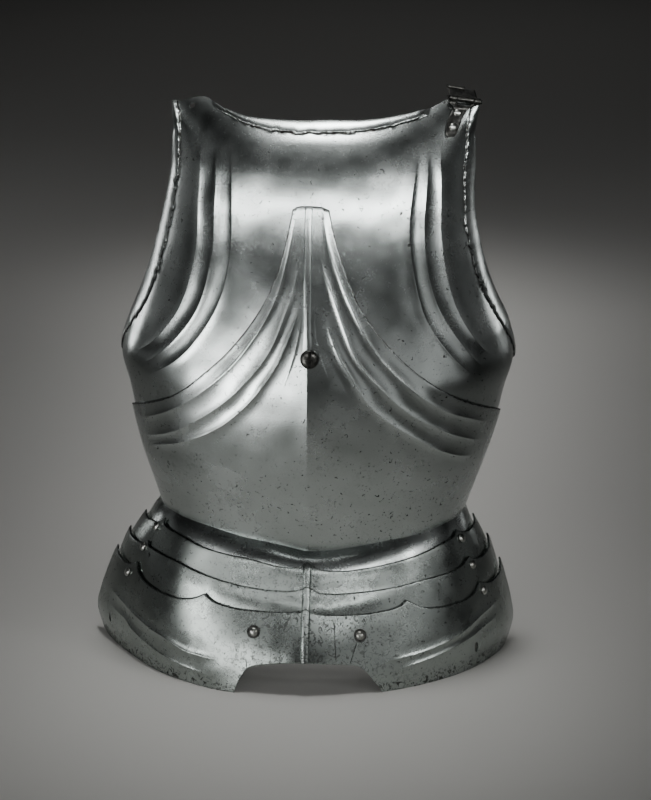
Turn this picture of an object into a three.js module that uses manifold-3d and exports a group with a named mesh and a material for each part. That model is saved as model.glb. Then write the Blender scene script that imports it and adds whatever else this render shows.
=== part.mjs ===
// Steel cuirass breastplate: breastplate, plackart and a fauld of three lames.
// Millimetres, +Z up, the front faces -Y and +X is the viewer's right.
// A place on the steel is a turn (degrees round the body, -90 viewer's left, 0 front, 90 right) and a z.
import * as THREE from 'three';
import Module from 'manifold-3d';

const wasm = await Module();
wasm.setup();

// ---- sizes ----
const PLATE = 1.5;            // thickness of every plate
const GAP = 0.3;              // air between pieces that touch
const LAP_GAP = 1.2;          // air between plackart and breastplate
const LAME_STEP = 2.4;        // from one lame's outer face to the next one's, along the normal
const REAR_STEP = 1.0;        // extra step near the rear edges, where the lames close when they fold
const HEM_HEIGHT = 2.0;       // turned edges at the neck and the armholes
const FLUTE_HEIGHT = 2.8;     // raised flutes of breastplate and plackart
const LAME_FLUTE_HEIGHT = 2.0;
const RIB_HEIGHT = 2.4;       // medial rib of the lames
const RIB_HALF_WIDTH = 3.4;
const PLACKART_RIB_HEIGHT = 1.6;
const SECTION_POWER = 2.25;   // superellipse power of the body's plan section
const MM_PER_DEGREE = 2.2;    // makes turn and z comparable along a guide line
const UNDER_LAP = PLATE + LAP_GAP;
const LAP_LOW = 150;          // where the plackart starts to stand proud
const LAP_HIGH = 330;         // and where it has its whole gap
const FLANGE_REACH = 13;      // how far the plackart's flange runs on under the first lame
const FLANGE_TAPER = 0.96;    // the flange is this much narrower at its lower edge
const HIDDEN_LAP = 14;        // how far a lame runs on under the next one
const RIVET_LAP = 5;          // more of it round the rivets
const OPEN_HEIGHT = 40;       // visible height that the lowest lame's slope is worked out from
const FLUTE_FADE = 12;        // length over which a flute runs out, mm or degrees
const LAME_FLUTE_RISE = 7;    // degrees over which a lame flute rises beside the arch
const LAME_FLUTE_FADE = 9;    // and over which it runs out
const FLUTE_FOOT = 4.5;
const CHEST_FADE = [440, 472];
const RIB_FADE = [315, 345];

// ---- net densities ----
const NECK_ROWS = [0, 0.35, 0.85, 1];
const NECK_HEM_HEIGHTS = [0.4, 1, 0.9, 0];
const CHEST_ROWS = 15;
const BELLY_ROWS = 13;
const WAIST_ROWS = [0.03, 0.1, 0.2];
const LAME_ROWS = [0, 0.45, 1];
const COLUMN_STEP = 8;        // widest step between a lame's columns, degrees
const COLUMN_LEAST = 0.9;     // narrowest

// ---- tables ----
const table = (names, rows) => rows.map((row) => Object.fromEntries(names.map((name, i) => [name, row[i]])));

const BODY = table(['z', 'left', 'right', 'depth', 'crease'], [
  [116, 134.5, 131.5, 106, 22],
  [130, 139, 137, 109, 22],
  [150, 145, 144, 114, 22],
  [170, 151.5, 151, 119, 22],
  [190, 157.5, 157.5, 124, 22],
  [217, 163, 165, 129, 22],
  [245, 168, 171, 132.5, 22],
  [272, 173.5, 177.5, 134, 21],
  [300, 166.5, 172, 133.5, 20],
  [340, 152, 158, 131, 12],
  [380, 141.5, 149, 126, 4],
  [415, 133.5, 144, 118, 0],
  [450, 128, 143, 104, 0],
  [475, 130, 145.5, 86, 0],
  [490, 138, 154, 69, 0],
  [506, 155, 171, 46, 0],
]);

// Height of the waist crease, where the body ends and the fauld flares out.
const WAIST = table(['turn', 'z'], [
  [-90, 131], [-75, 132.5], [-60, 134], [-45, 132], [-35, 129.5], [-25, 125], [-12, 121], [-3, 117],
  [0, 116], [6, 116], [20, 119.5], [33, 123.5], [45, 125.5], [60, 129], [75, 129.5], [90, 128.5],
]);

// Plan of the fauld's lower edge.
const HEM_PLAN = table(['turn', 'x', 'y'], [
  [-90, -195, 0], [-75, -186, -26], [-60, -166, -64], [-40, -124, -117], [-20, -66, -152], [0, 0, -164],
  [20, 62, -146], [40, 116, -113], [60, 154, -71], [75, 171, -34], [90, 178, 0],
]);

// Share of the way from waist to lower edge that the fauld has gone outward, by share of the drop.
const FLARE = table(['drop', 'front', 'side'], [
  [0, 0, 0], [0.05, 0.17, 0.125], [0.1, 0.27, 0.235], [0.17, 0.35, 0.38], [0.26, 0.45, 0.55],
  [0.36, 0.58, 0.69], [0.45, 0.665, 0.8], [0.57, 0.77, 0.92], [0.68, 0.85, 1.02], [0.82, 0.925, 1.1],
  [0.94, 0.98, 1.04], [1, 1, 1],
]);

const NECKLINE = table(['turn', 'z'], [
  [-53, 500.6], [-48, 501.7], [-43, 504], [-39, 505.7], [-37, 506], [-35, 505.6], [-33.8, 503], [-32, 500],
  [-29, 497.2], [-25.5, 494.3], [-22, 492.9], [-18, 492.1], [-11, 491.5], [-4, 491.3], [3, 491.8],
  [15, 492], [21, 493], [27, 495.2], [33, 498.4], [36, 500.5], [38.2, 503.7], [40, 505.8], [45, 504.8],
  [50, 503.6], [55.6, 502.3],
]);

const NECK_HEM = table(['turn', 'width', 'share'], [
  [-60, 5, 0], [-34, 4, 0], [-31, 4, 0.6], [-26, 5, 1], [-19, 7, 1], [0, 9, 1], [28, 7, 1], [33, 6, 1],
  [36, 5, 0], [60, 5, 0],
]);

// Guide lines of the breastplate, each a list of [turn, z] from the neck down.
const CHEST = {
  centre: [[0, 491.5], [0, 380], [0, 270]],
  left: {
    armhole: [[-53, 500.6], [-62, 484.5], [-69, 466], [-72.4, 448], [-72, 410], [-73, 375], [-78, 338],
      [-85, 300], [-90, 272]],
    hem: [[-49.5, 501.4], [-52, 496.3], [-57, 483], [-60.4, 469], [-61, 452], [-60, 400], [-62.5, 350],
      [-67, 316], [-76, 293], [-90, 262]],
    crest1: [[-38.5, 505.8], [-41, 497], [-45.9, 473], [-45, 430], [-42.5, 400], [-41.7, 375], [-43, 343],
      [-47, 316], [-54, 294], [-70, 275], [-90, 254]],
    crest2: [[-34, 503.4], [-34.8, 499], [-38.1, 474], [-36.5, 425], [-34.5, 390], [-35.5, 350],
      [-39, 320], [-46, 294], [-55, 277], [-90, 241]],
    crest3: [[-29, 497.2], [-30, 492], [-31.8, 476], [-29, 425], [-27.2, 390], [-28, 358], [-32, 322],
      [-39, 290], [-48, 273], [-62, 258], [-90, 228]],
    flank: [[-22.5, 493], [-20, 430], [-18, 380], [-19, 330], [-26, 285], [-45, 240], [-90, 192]],
  },
  right: {
    armhole: [[55.6, 502.3], [62.6, 488], [70.3, 470], [72.7, 452], [72, 430], [72, 390], [76, 355],
      [82, 325], [88, 298], [90, 275]],
    hem: [[51, 503.4], [53.3, 497.3], [59, 484], [62.4, 472], [61.8, 456], [61.5, 415], [61.8, 380],
      [65, 350], [71, 314], [79, 292], [90, 266]],
    crest1: [[43.5, 505.1], [46.5, 490], [47.3, 468], [48, 430], [47, 386], [48, 350], [51, 317],
      [56, 295], [62, 286], [76, 270], [90, 256]],
    crest2: [[39.2, 504.9], [41.3, 490], [42.1, 469], [41, 430], [39.6, 390], [40.8, 350], [44, 320],
      [50, 292], [57, 276], [72, 259], [90, 243]],
    crest3: [[35.3, 500.1], [37.3, 488], [37.9, 469], [36, 443], [34, 405], [34.2, 381], [35.5, 343],
      [38, 316], [45, 286], [54, 267], [68, 252], [90, 228]],
    flank: [[25, 494.4], [24, 430], [22, 380], [23, 330], [30, 285], [48, 242], [90, 192]],
  },
};

// Columns of the breastplate's net: between which guides, how far across, and what is raised there.
const CHEST_COLUMNS = table(['from', 'to', 'across', 'relief', 'share'], [
  ['armhole', 'hem', 0, 'hem', 0.3],
  ['armhole', 'hem', 0.3, 'hem', 1],
  ['armhole', 'hem', 0.8, 'hem', 0.9],
  ['armhole', 'hem', 1, 'plain', 0],
  ['hem', 'crest1', 0.5, 'plain', 0],
  ['hem', 'crest1', 0.82, 'crest1', 0.04],
  ['hem', 'crest1', 0.93, 'crest1', 0.36],
  ['crest1', 'crest2', 0, 'crest1', 1],
  ['crest1', 'crest2', 0.28, 'crest1', 0.19],
  ['crest1', 'crest2', 0.72, 'crest2', 0.19],
  ['crest2', 'crest3', 0, 'crest2', 1],
  ['crest2', 'crest3', 0.28, 'crest2', 0.19],
  ['crest2', 'crest3', 0.72, 'crest3', 0.19],
  ['crest3', 'flank', 0, 'crest3', 1],
  ['crest3', 'flank', 0.25, 'crest3', 0.25],
  ['crest3', 'flank', 0.6, 'plain', 0],
  ['flank', 'centre', 0, 'plain', 0],
  ['flank', 'centre', 0.33, 'plain', 0],
  ['flank', 'centre', 0.67, 'plain', 0],
]);

// Where each chest flute runs out, as a turn to either side.
const CHEST_TIPS = { crest1: 61, crest2: 56, crest3: 53 };

// Guide lines of the plackart, from its top to the side edge or the waist.
const BELLY = {
  centre: [[0, 428], [0, 280], [0, 116]],
  left: {
    edge: [[-6, 425], [-7.5, 403], [-11, 366], [-17, 331], [-26, 293], [-39, 259], [-58, 239], [-90, 217]],
    crest1: [[-4.2, 427.3], [-6.3, 395], [-9.3, 357], [-15, 321], [-24, 281], [-36, 253], [-52, 231.5],
      [-90, 200]],
    crest2: [[-2.8, 428], [-3.7, 367], [-6.7, 341], [-11, 304], [-19, 270], [-28, 247.5], [-43, 221.5],
      [-62, 206], [-90, 186]],
    crest3: [[-1.9, 428], [-2.6, 350], [-5.8, 314], [-10.3, 283], [-17.8, 254], [-28.7, 228], [-43, 210],
      [-60, 198], [-90, 172]],
    flank: [[-1.4, 428], [-2, 340], [-5, 290], [-15, 230], [-40, 175], [-90, 131]],
    hip: [[-1, 428], [-1.4, 320], [-6, 240], [-30, 165], [-60, 134]],
    belly: [[-0.5, 428], [-0.8, 320], [-4, 240], [-17, 165], [-33, 128.8]],
  },
  right: {
    edge: [[7, 425], [8.5, 405], [10.4, 389], [12.8, 368], [15.6, 347], [18.5, 331], [25.3, 301], [34, 275],
      [46, 255], [60, 241], [77.5, 227], [90, 218]],
    crest1: [[4.6, 427.3], [5.9, 405], [7.5, 389], [9.7, 372], [11.7, 355], [13.9, 340], [17.7, 312],
      [22, 291], [29, 269], [41, 246], [51, 236], [59, 228], [90, 203]],
    crest2: [[2.8, 428], [3.9, 383], [6, 369], [9.3, 339], [12, 311], [14, 295], [21, 269], [30, 246],
      [42, 227], [50, 218], [63.5, 207], [90, 190]],
    crest3: [[1.9, 428], [3.3, 370], [5.4, 336], [8.4, 303], [11.3, 287], [15.8, 262], [23, 242],
      [29, 230], [41, 210], [52, 199], [74, 186], [90, 175]],
    flank: [[1.4, 428], [2, 340], [5, 290], [15, 230], [40, 175], [90, 128.5]],
    hip: [[1, 428], [1.4, 320], [6, 240], [30, 165], [60, 129]],
    belly: [[0.5, 428], [0.8, 320], [4, 240], [17, 165], [33, 123.5]],
  },
};

const BELLY_COLUMNS = table(['from', 'to', 'across', 'relief', 'share'], [
  ['edge', 'crest1', 0, 'plain', 0],
  ['edge', 'crest1', 0.5, 'crest1', 0.1],
  ['crest1', 'crest2', 0, 'crest1', 1],
  ['crest1', 'crest2', 0.28, 'crest1', 0.19],
  ['crest1', 'crest2', 0.72, 'crest2', 0.19],
  ['crest2', 'crest3', 0, 'crest2', 1],
  ['crest2', 'crest3', 0.28, 'crest2', 0.19],
  ['crest2', 'crest3', 0.72, 'crest3', 0.19],
  ['crest3', 'flank', 0, 'crest3', 1],
  ['crest3', 'flank', 0.16, 'crest3', 0.19],
  ['crest3', 'flank', 0.5, 'plain', 0],
  ['flank', 'hip', 0, 'plain', 0],
  ['flank', 'hip', 0.33, 'plain', 0],
  ['flank', 'hip', 0.67, 'plain', 0],
  ['hip', 'belly', 0, 'plain', 0],
  ['hip', 'belly', 0.5, 'plain', 0],
  ['belly', 'centre', 0, 'plain', 0],
  ['belly', 'centre', 0.4, 'plain', 0],
  ['belly', 'centre', 0.75, 'plain', 0],
]);

// Height where each plackart flute starts, and the turn where it runs out.
const BELLY_FLUTES = {
  crest1: { start: 440, end: 66 },
  crest2: { start: 392, end: 64 },
  crest3: { start: 350, end: 62 },
};

// Upper edges of the lames, with the cusps of the cut border, as [turn, z].
const LAME_EDGE = [
  [[-88, 116], [-74, 117.5], [-68, 119.7], [-62, 122], [-59.3, 127.4], [-57.5, 123], [-55, 121.7],
    [-46, 119.3], [-37, 115.4], [-28.5, 112.7], [-19, 110.4], [-10, 106.5], [-5.5, 105.6], [-2.6, 106.5],
    [0, 109.4], [3.8, 104.8], [8, 103.1], [13, 102.7], [18, 103.5], [29, 106.6], [41, 110.8], [53, 115.9],
    [58.5, 118.1], [61, 121.9], [64, 118], [71, 116], [80, 116.5], [88, 119.5]],
  [[-88, 99.5], [-76, 98], [-69, 98.5], [-64.5, 100.5], [-61.6, 105.1], [-59.4, 101.1], [-55, 100.6],
    [-44, 99], [-37.5, 96.1], [-26.5, 91.4], [-16, 88.3], [-12, 87.6], [-7, 87.5], [-3.2, 88.3], [0, 91],
    [2, 89.2], [4.2, 86.6], [9, 85.2], [15, 85.4], [28, 87.2], [38.7, 89.7], [52, 91.3], [56, 92.9],
    [59, 95.6], [61.7, 98.1], [64, 94.5], [71, 92.2], [79, 94], [88, 100.5]],
  [[-88, 81], [-78.5, 77.8], [-70, 77.3], [-66.5, 78.6], [-62.6, 84.5], [-59.4, 77], [-56, 73.4],
    [-51.5, 71.4], [-46.5, 70.4], [-41, 70.4], [-37, 72], [-33.7, 74.9], [-31, 79.4], [-29.5, 76.8],
    [-27.3, 74.1], [-24.5, 72.6], [-19.7, 71.1], [-15, 70.8], [-10.5, 70.9], [-6, 71.5], [-2, 72.2],
    [0, 74.6], [1.7, 71.7], [5.2, 70], [12, 68.6], [17, 68.3], [21.7, 69], [26.6, 70.2], [29.2, 71.9],
    [31.7, 75.7], [33.8, 72], [36, 68.5], [39, 66.2], [43, 64.8], [48, 64.1], [54, 64.4], [57.6, 66.1],
    [60.3, 68.4], [63.3, 74.5], [66.3, 71.3], [70.6, 68.7], [80, 69.5], [88, 77.5]],
];

// Lower edge of the lowest lame: it rests on z 0 and rises in a flat arch at the front.
const LOWER_EDGE = [[-88, 19], [-87, 10], [-84, 3.5], [-79, 0], [-18.8, 0], [-18.4, 4.2], [-17.2, 13.8],
  [-15.3, 22.7], [-12.5, 26.2], [-9.6, 27.8], [-5.5, 29.6], [0, 30.4], [7.3, 29], [11.6, 27.5],
  [14.6, 25.8], [16.4, 22.5], [18.1, 17.2], [19.8, 9.7], [21.2, 4.4], [22.1, 0], [79, 0], [84, 3.5],
  [87, 10], [88, 19]];

// The two flutes that cross the lowest lame, as [turn, z]; they fade out before the arch.
const LAME_FLUTES = [
  { line: [[-88, 52], [-64, 45], [-57, 41.3], [-49, 37], [-42, 33.9], [-32, 27.5], [-22, 27], [-14, 40],
    [0, 47], [14, 40], [20, 33], [24, 27.5], [30, 28.8], [40, 32.4], [46, 35.3], [53, 40.4], [61, 46.8],
    [88, 54]], from: 22, to: 62 },
  { line: [[-88, 37], [-60.5, 32.3], [-56, 27], [-49, 22.3], [-42, 18], [-31, 13.5], [-24, 12], [-17, 25],
    [-12, 33], [0, 37], [12, 34], [18, 25], [24, 18], [32, 21.2], [43, 25.9], [55, 31.9], [60, 35.1],
    [88, 42]], from: 26, to: 59 },
];

const LAME_RIVETS = [
  { left: [-61.8, 117.9], right: [62, 113.4] },
  { left: [-62.7, 97.9], right: [62.2, 90.3] },
  { left: [-65.4, 71.4], right: [64.2, 65.7] },
];
const TASSET_RIVETS = { left: [-14.5, 54], right: [16, 51.3] };
const SIDE_HOLES = [
  { at: [-70, 22], length: 7, width: 4.5 },
  { at: [56, 19.5], length: 10, width: 5 },
];
const SHOULDER_HOLE = { at: [-43.6, 499], length: 5.6, width: 5.6 };
const SCREW = {
  at: [0.6, 300],
  head: 8.3,
  rise: 4.6,
  rim: 0.8,
  shank: 3,
  hole: 3.4,
  nut: 5.5,
  nutThickness: 2.5,
  slotWidth: 1.8,
  slotDepth: 1.6,
  slack: 0.7,
  nutSlack: 1.4,
  sides: 12,
};
const RIVET = { head: 4, rise: 2.4, shank: 2, peen: 3.6, peenRise: 1.4, hole: 2.5, sides: 8 };
const LAME_RIVET_SLACK = 0.7; // lets the lames turn on their rivets
const TASSET_WASHER = { radius: 5.8, bore: 2.5, thickness: 0.9, sides: 12 };
const CUTTER = { under: 12, over: 6, sides: 8 };

const HINGE = {
  ends: [[41.2, 505], [53.6, 502.3]],
  height: 5.2,
  knuckle: 3,
  pin: 1.2,
  bore: 1.6,
  pinReach: 14.9,
  pinHead: 2.1,
  pinHeads: [[14.3, 15.6], [-15.6, -14.3]],
  leaf: 1.3,
  leafTop: 47.4,
  leafLow: [50.8, 477],
  leafGap: 0.7,
  leafRows: [0, 0.1, 0.22, 0.5, 0.9, 1],
  leafColumns: [-1, -0.4, 0.4, 1],
  leafHalfWidths: [6, 3.4],
  leafRounding: 0.8,
  curl: 2.86,
  clearance: 0.5,
  boreSpan: [-20, 20],
  sides: 8,
  fixedKnuckles: [[-14, -7.2], [8.2, 14]],
  loopKnuckle: [-6.7, 7.7],
  loopLength: 17,
  loopWidth: [-13, 12],
  loopGap: 0.4,
  loopTilt: 24,
  bar: 2,
  barSpan: [-13, 3],
};
const HINGE_RIVETS = { upper: [48, 495.5], lower: [50, 484.5] };

const STEEL = { roughness: 0.35, metalness: 1 };
const COLOURS = {
  breastplate: 0x8b918f,
  plackart: 0x8f9593,
  lame_1: 0x8a8f8c,
  lame_2: 0x888d8a,
  lame_3: 0x858a87,
};
const FITTING_COLOUR = 0x5b5a55;

// ---- curves ----
function monotone(xs, ys) {
  const n = xs.length;
  const rise = xs.slice(1).map((x, i) => (ys[i + 1] - ys[i]) / (x - xs[i]));
  const slope = xs.map((_, i) => {
    if (i === 0) return rise[0];
    if (i === n - 1) return rise[n - 2];
    if (rise[i - 1] * rise[i] <= 0) return 0;
    return 2 * rise[i - 1] * rise[i] / (rise[i - 1] + rise[i]);
  });
  return (at) => {
    const x = THREE.MathUtils.clamp(at, xs[0], xs[n - 1]);
    let i = xs.findIndex((end, k) => k > 0 && x <= end) - 1;
    if (i < 0) i = 0;
    const h = xs[i + 1] - xs[i];
    const t = (x - xs[i]) / h;
    return ys[i] * (1 + 2 * t) * (1 - t) ** 2 + h * slope[i] * t * (1 - t) ** 2
      + ys[i + 1] * t * t * (3 - 2 * t) + h * slope[i + 1] * t * t * (t - 1);
  };
}

const column = (rows, x, y) => monotone(rows.map((row) => row[x]), rows.map((row) => row[y]));

// Straight runs between the points of a cut border, so that its cusps stay sharp.
function border(points) {
  return (turn) => {
    const x = THREE.MathUtils.clamp(turn, points[0][0], points.at(-1)[0]);
    const i = Math.max(1, points.findIndex((point) => x <= point[0]));
    const [x0, z0] = points[i - 1];
    const [x1, z1] = points[i];
    return THREE.MathUtils.mapLinear(x, x0, x1, z0, z1);
  };
}

const bodyLeft = column(BODY, 'z', 'left');
const bodyRight = column(BODY, 'z', 'right');
const bodyDepth = column(BODY, 'z', 'depth');
const bodyCrease = column(BODY, 'z', 'crease');
const waist = column(WAIST, 'turn', 'z');
const hemX = column(HEM_PLAN, 'turn', 'x');
const hemY = column(HEM_PLAN, 'turn', 'y');
const flareFront = column(FLARE, 'drop', 'front');
const flareSide = column(FLARE, 'drop', 'side');
const neckline = column(NECKLINE, 'turn', 'z');
const neckHemWidth = column(NECK_HEM, 'turn', 'width');
const neckHemShare = column(NECK_HEM, 'turn', 'share');
const lameEdge = LAME_EDGE.map(border);
const lowerEdge = border(LOWER_EDGE);

// ---- the two surfaces that every plate follows ----
function bodyPoint(turn, z) {
  const angle = THREE.MathUtils.degToRad(turn);
  const s = Math.abs(Math.sin(angle));
  const c = Math.cos(angle);
  const reach = (s ** SECTION_POWER + Math.abs(c) ** SECTION_POWER) ** (-1 / SECTION_POWER);
  const across = s * reach;
  const halfWidth = turn < 0 ? -bodyLeft(z) : bodyRight(z);
  const fallAway = bodyCrease(z) * across * Math.max(1 - across, 0) ** 1.5;
  return new THREE.Vector3(halfWidth * across, fallAway - bodyDepth(z) * c * reach, z);
}

function fauldPoint(turn, z) {
  const top = waist(turn);
  const start = bodyPoint(turn, top);
  const drop = (top - z) / top;
  const side = Math.sin(THREE.MathUtils.degToRad(turn)) ** 2;
  const share = flareFront(drop) * (1 - side) + flareSide(drop) * side;
  const x = THREE.MathUtils.lerp(start.x, hemX(turn), share);
  const y = THREE.MathUtils.lerp(start.y, hemY(turn), share);
  return new THREE.Vector3(x, y, z);
}

function normalOf(surface, turn, z) {
  const across = surface(Math.min(turn + 0.5, 90), z).sub(surface(Math.max(turn - 0.5, -90), z));
  const up = surface(turn, z + 0.5).sub(surface(turn, z - 0.5));
  return across.cross(up).normalize();
}

function raised(surface, turn, z, height) {
  return surface(turn, z).addScaledVector(normalOf(surface, turn, z), height);
}

// ---- nets: rows of points made into a plate ----
const smooth = (low, high, value) => THREE.MathUtils.smoothstep(value, low, high);

function guideLine(points) {
  const curve = new THREE.SplineCurve(points.map(([turn, z]) => new THREE.Vector2(turn * MM_PER_DEGREE, z)));
  const length = curve.getLength();
  return {
    length,
    at: (share) => {
      const point = curve.getPointAt(Math.min(share, 1));
      return { turn: point.x / MM_PER_DEGREE, z: point.y };
    },
  };
}

// All columns of a net, from the viewer's left to the right.
// Each gives a turn and z for a share of its length.
function netColumns(guides, columns) {
  const centre = guideLine(guides.centre);
  const sideColumns = (side) => {
    const lines = { centre };
    for (const [name, line] of Object.entries(guides[side])) lines[name] = guideLine(line);
    return columns.map((entry) => ({
      ...entry,
      side,
      length: THREE.MathUtils.lerp(lines[entry.from].length, lines[entry.to].length, entry.across),
      at: (share) => {
        const a = lines[entry.from].at(share);
        const b = lines[entry.to].at(share);
        return {
          turn: THREE.MathUtils.lerp(a.turn, b.turn, entry.across),
          z: THREE.MathUtils.lerp(a.z, b.z, entry.across),
        };
      },
    }));
  };
  const middle = { from: 'centre', relief: 'rib', share: 1, length: centre.length, at: centre.at };
  return [...sideColumns('left'), middle, ...sideColumns('right').reverse()];
}

// A plate from rows of points on its outer face; rows may be joined through shared points.
class Plate {
  constructor() {
    this.points = [];
    this.keys = new Map();
    this.faces = [];
  }

  index(point) {
    const key = point.toArray().map((value) => Math.round(value * 200)).join();
    if (!this.keys.has(key)) {
      this.keys.set(key, this.points.length);
      this.points.push(point);
    }
    return this.keys.get(key);
  }

  addRows(rows) {
    const net = rows.map((row) => row.map((point) => this.index(point)));
    for (let j = 1; j < net.length; j += 1) {
      for (let i = 1; i < net[j].length; i += 1) {
        const [a, b, c, d] = [net[j - 1][i - 1], net[j][i - 1], net[j][i], net[j - 1][i]];
        this.addFace(a, b, c);
        this.addFace(a, c, d);
      }
    }
  }

  addFace(a, b, c) {
    if (a !== b && b !== c && a !== c) this.faces.push([a, b, c]);
  }

  normals() {
    const sums = this.points.map(() => new THREE.Vector3());
    for (const face of this.faces) {
      const [a, b, c] = face.map((i) => this.points[i]);
      const normal = b.clone().sub(a).cross(c.clone().sub(a));
      face.forEach((i) => sums[i].add(normal));
    }
    return sums.map((sum) => sum.normalize());
  }

  // Outer face, inner face and the strips that close the edges.
  solid(thickness) {
    const count = this.points.length;
    const normals = this.normals();
    const inner = this.points.map((point, i) => {
      const back = point.clone().addScaledVector(normals[i], -thickness);
      if (point.z === 0 || back.z < 0) back.z = 0;
      return back;
    });
    const triangles = this.faces.flatMap(([a, b, c]) => [[a, b, c], [c + count, b + count, a + count]]);
    const edges = new Set(this.faces.flatMap(([a, b, c]) => [[a, b].join(), [b, c].join(), [c, a].join()]));
    for (const edge of edges) {
      const [a, b] = edge.split(',').map(Number);
      if (!edges.has([b, a].join())) triangles.push([b, a, a + count], [b, a + count, b + count]);
    }
    return toManifold([...this.points, ...inner], triangles);
  }
}

function toManifold(points, triangles) {
  const mesh = new wasm.Mesh({
    numProp: 3,
    vertProperties: new Float32Array(points.flatMap((point) => point.toArray())),
    triVerts: new Uint32Array(triangles.flat()),
  });
  return new wasm.Manifold(mesh);
}

function toGeometry(manifold) {
  const { vertProperties, triVerts } = manifold.getMesh();
  const geometry = new THREE.BufferGeometry();
  geometry.setAttribute('position', new THREE.BufferAttribute(new Float32Array(vertProperties), 3));
  geometry.setIndex(new THREE.BufferAttribute(new Uint32Array(triVerts), 1));
  geometry.computeVertexNormals();
  return geometry;
}

// Turns a profile of [radius, height] round an axis; the profile starts and ends on the axis.
function turned(profile, sides, place) {
  const points = profile.map(([radius, height]) => new THREE.Vector2(radius, height));
  const lathe = new THREE.LatheGeometry(points, sides);
  lathe.applyMatrix4(place);
  const position = lathe.getAttribute('position');
  const index = lathe.getIndex();
  const plate = new Plate();
  const ids = Array.from({ length: position.count }, (_, i) =>
    plate.index(new THREE.Vector3().fromBufferAttribute(position, i)));
  for (let i = 0; i < index.count; i += 3) {
    plate.addFace(ids[index.getX(i)], ids[index.getX(i + 1)], ids[index.getX(i + 2)]);
  }
  const solid = toManifold(plate.points, plate.faces);
  return solid.volume() < 0 ? toManifold(plate.points, plate.faces.map((face) => face.toReversed())) : solid;
}

// Frame at a point whose local Y axis is the given direction.
function standing(point, direction) {
  const turn = new THREE.Quaternion().setFromUnitVectors(new THREE.Vector3(0, 1, 0), direction);
  return new THREE.Matrix4().compose(point, turn, new THREE.Vector3(1, 1, 1));
}

// ---- the big plates ----
// The plackart stands proud at its upper edge and lies in the body's outline at the waist.
const plackartLift = (z) => UNDER_LAP * smooth(LAP_LOW, LAP_HIGH, z);

function chestRelief(entry, turn, z) {
  if (entry.relief === 'hem') return HEM_HEIGHT * entry.share;
  if (!CHEST_TIPS[entry.relief]) return 0;
  const tip = CHEST_TIPS[entry.relief];
  const fade = (1 - smooth(...CHEST_FADE, z)) * (1 - smooth(tip - FLUTE_FADE, tip, Math.abs(turn)));
  return FLUTE_HEIGHT * entry.share * fade;
}

function breastplate() {
  const columns = netColumns(CHEST, CHEST_COLUMNS);
  const rowCount = NECK_ROWS.length + CHEST_ROWS;
  const rows = Array.from({ length: rowCount }, (_, j) => columns.map((entry) => {
    const start = entry.at(0);
    const lift = neckline(start.turn) - start.z;
    const hemShare = neckHemWidth(start.turn) / entry.length;
    const share = j < NECK_ROWS.length
      ? NECK_ROWS[j] * hemShare
      : THREE.MathUtils.lerp(hemShare, 1, (j - NECK_ROWS.length + 1) / CHEST_ROWS);
    const { turn, z } = entry.at(share);
    const place = z + lift * Math.max(0, 1 - share * 4);
    const neckHem = NECK_HEM_HEIGHTS[j] ?? 0;
    const height = Math.max(
      chestRelief(entry, turn, place),
      HEM_HEIGHT * neckHem * neckHemShare(start.turn),
    );
    const sunk = UNDER_LAP - plackartLift(place);
    return raised(bodyPoint, turn, place, height - sunk);
  }));
  const plate = new Plate();
  plate.addRows(rows);
  return plate.solid(PLATE);
}

function bellyRelief(entry, turn, z) {
  if (entry.relief === 'rib') return PLACKART_RIB_HEIGHT * smooth(...RIB_FADE, z);
  const flute = BELLY_FLUTES[entry.relief];
  if (!flute) return 0;
  const fade = (1 - smooth(flute.start - FLUTE_FADE, flute.start, z))
    * (1 - smooth(flute.end - FLUTE_FADE, flute.end, Math.abs(turn)));
  return FLUTE_HEIGHT * entry.share * fade;
}

// Height of a fauld plate over the common surface: high at its own upper edge, low under the next one.
function lameHeight(level, turn, z) {
  const own = level === 0 ? waist(turn) : lameEdge[level - 1](turn);
  const next = level === 3 ? own - OPEN_HEIGHT : lameEdge[level](turn);
  const share = THREE.MathUtils.clamp((own - z) / Math.max(own - next, 4), 0, level === 3 ? 1 : 2.2);
  const start = level === 0 ? 0 : LAME_STEP / 2;
  const end = [-0.65, -0.5, -0.5, 0][level] * LAME_STEP;
  const rear = (level - 1.5) * REAR_STEP * smooth(60, 84, Math.abs(turn));
  return THREE.MathUtils.lerp(start, end, share) + rear * (level === 0 ? Math.min(share, 1) : 1);
}

function plackart() {
  const columns = netColumns(BELLY, BELLY_COLUMNS);
  const rows = Array.from({ length: BELLY_ROWS + 1 }, (_, j) => columns.map((entry) => {
    const share = j / BELLY_ROWS;
    const { turn, z } = entry.at(share);
    const onWaist = !['edge', 'crest1', 'crest2', 'crest3'].includes(entry.from);
    const end = entry.at(1);
    const settle = onWaist ? (waist(end.turn) - end.z) * smooth(0.75, 1, share) : 0;
    return raised(bodyPoint, turn, z + settle, plackartLift(z) + bellyRelief(entry, turn, z));
  }));
  const plate = new Plate();
  plate.addRows(rows);
  const firstOnWaist = columns.findIndex((entry) => entry.from === 'flank');
  const onWaist = columns.slice(firstOnWaist, columns.length - firstOnWaist);
  const flange = WAIST_ROWS.map((share) => onWaist.map((entry) => {
    const turn = entry.at(1).turn * THREE.MathUtils.lerp(1, FLANGE_TAPER, share / WAIST_ROWS.at(-1));
    const low = lameEdge[0](turn) - FLANGE_REACH;
    const z = THREE.MathUtils.lerp(waist(turn), low, share / WAIST_ROWS.at(-1));
    return raised(fauldPoint, turn, z, lameHeight(0, turn, z));
  }));
  plate.addRows([rows.at(-1).slice(firstOnWaist, columns.length - firstOnWaist), ...flange]);
  return plate.solid(PLATE);
}

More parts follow.
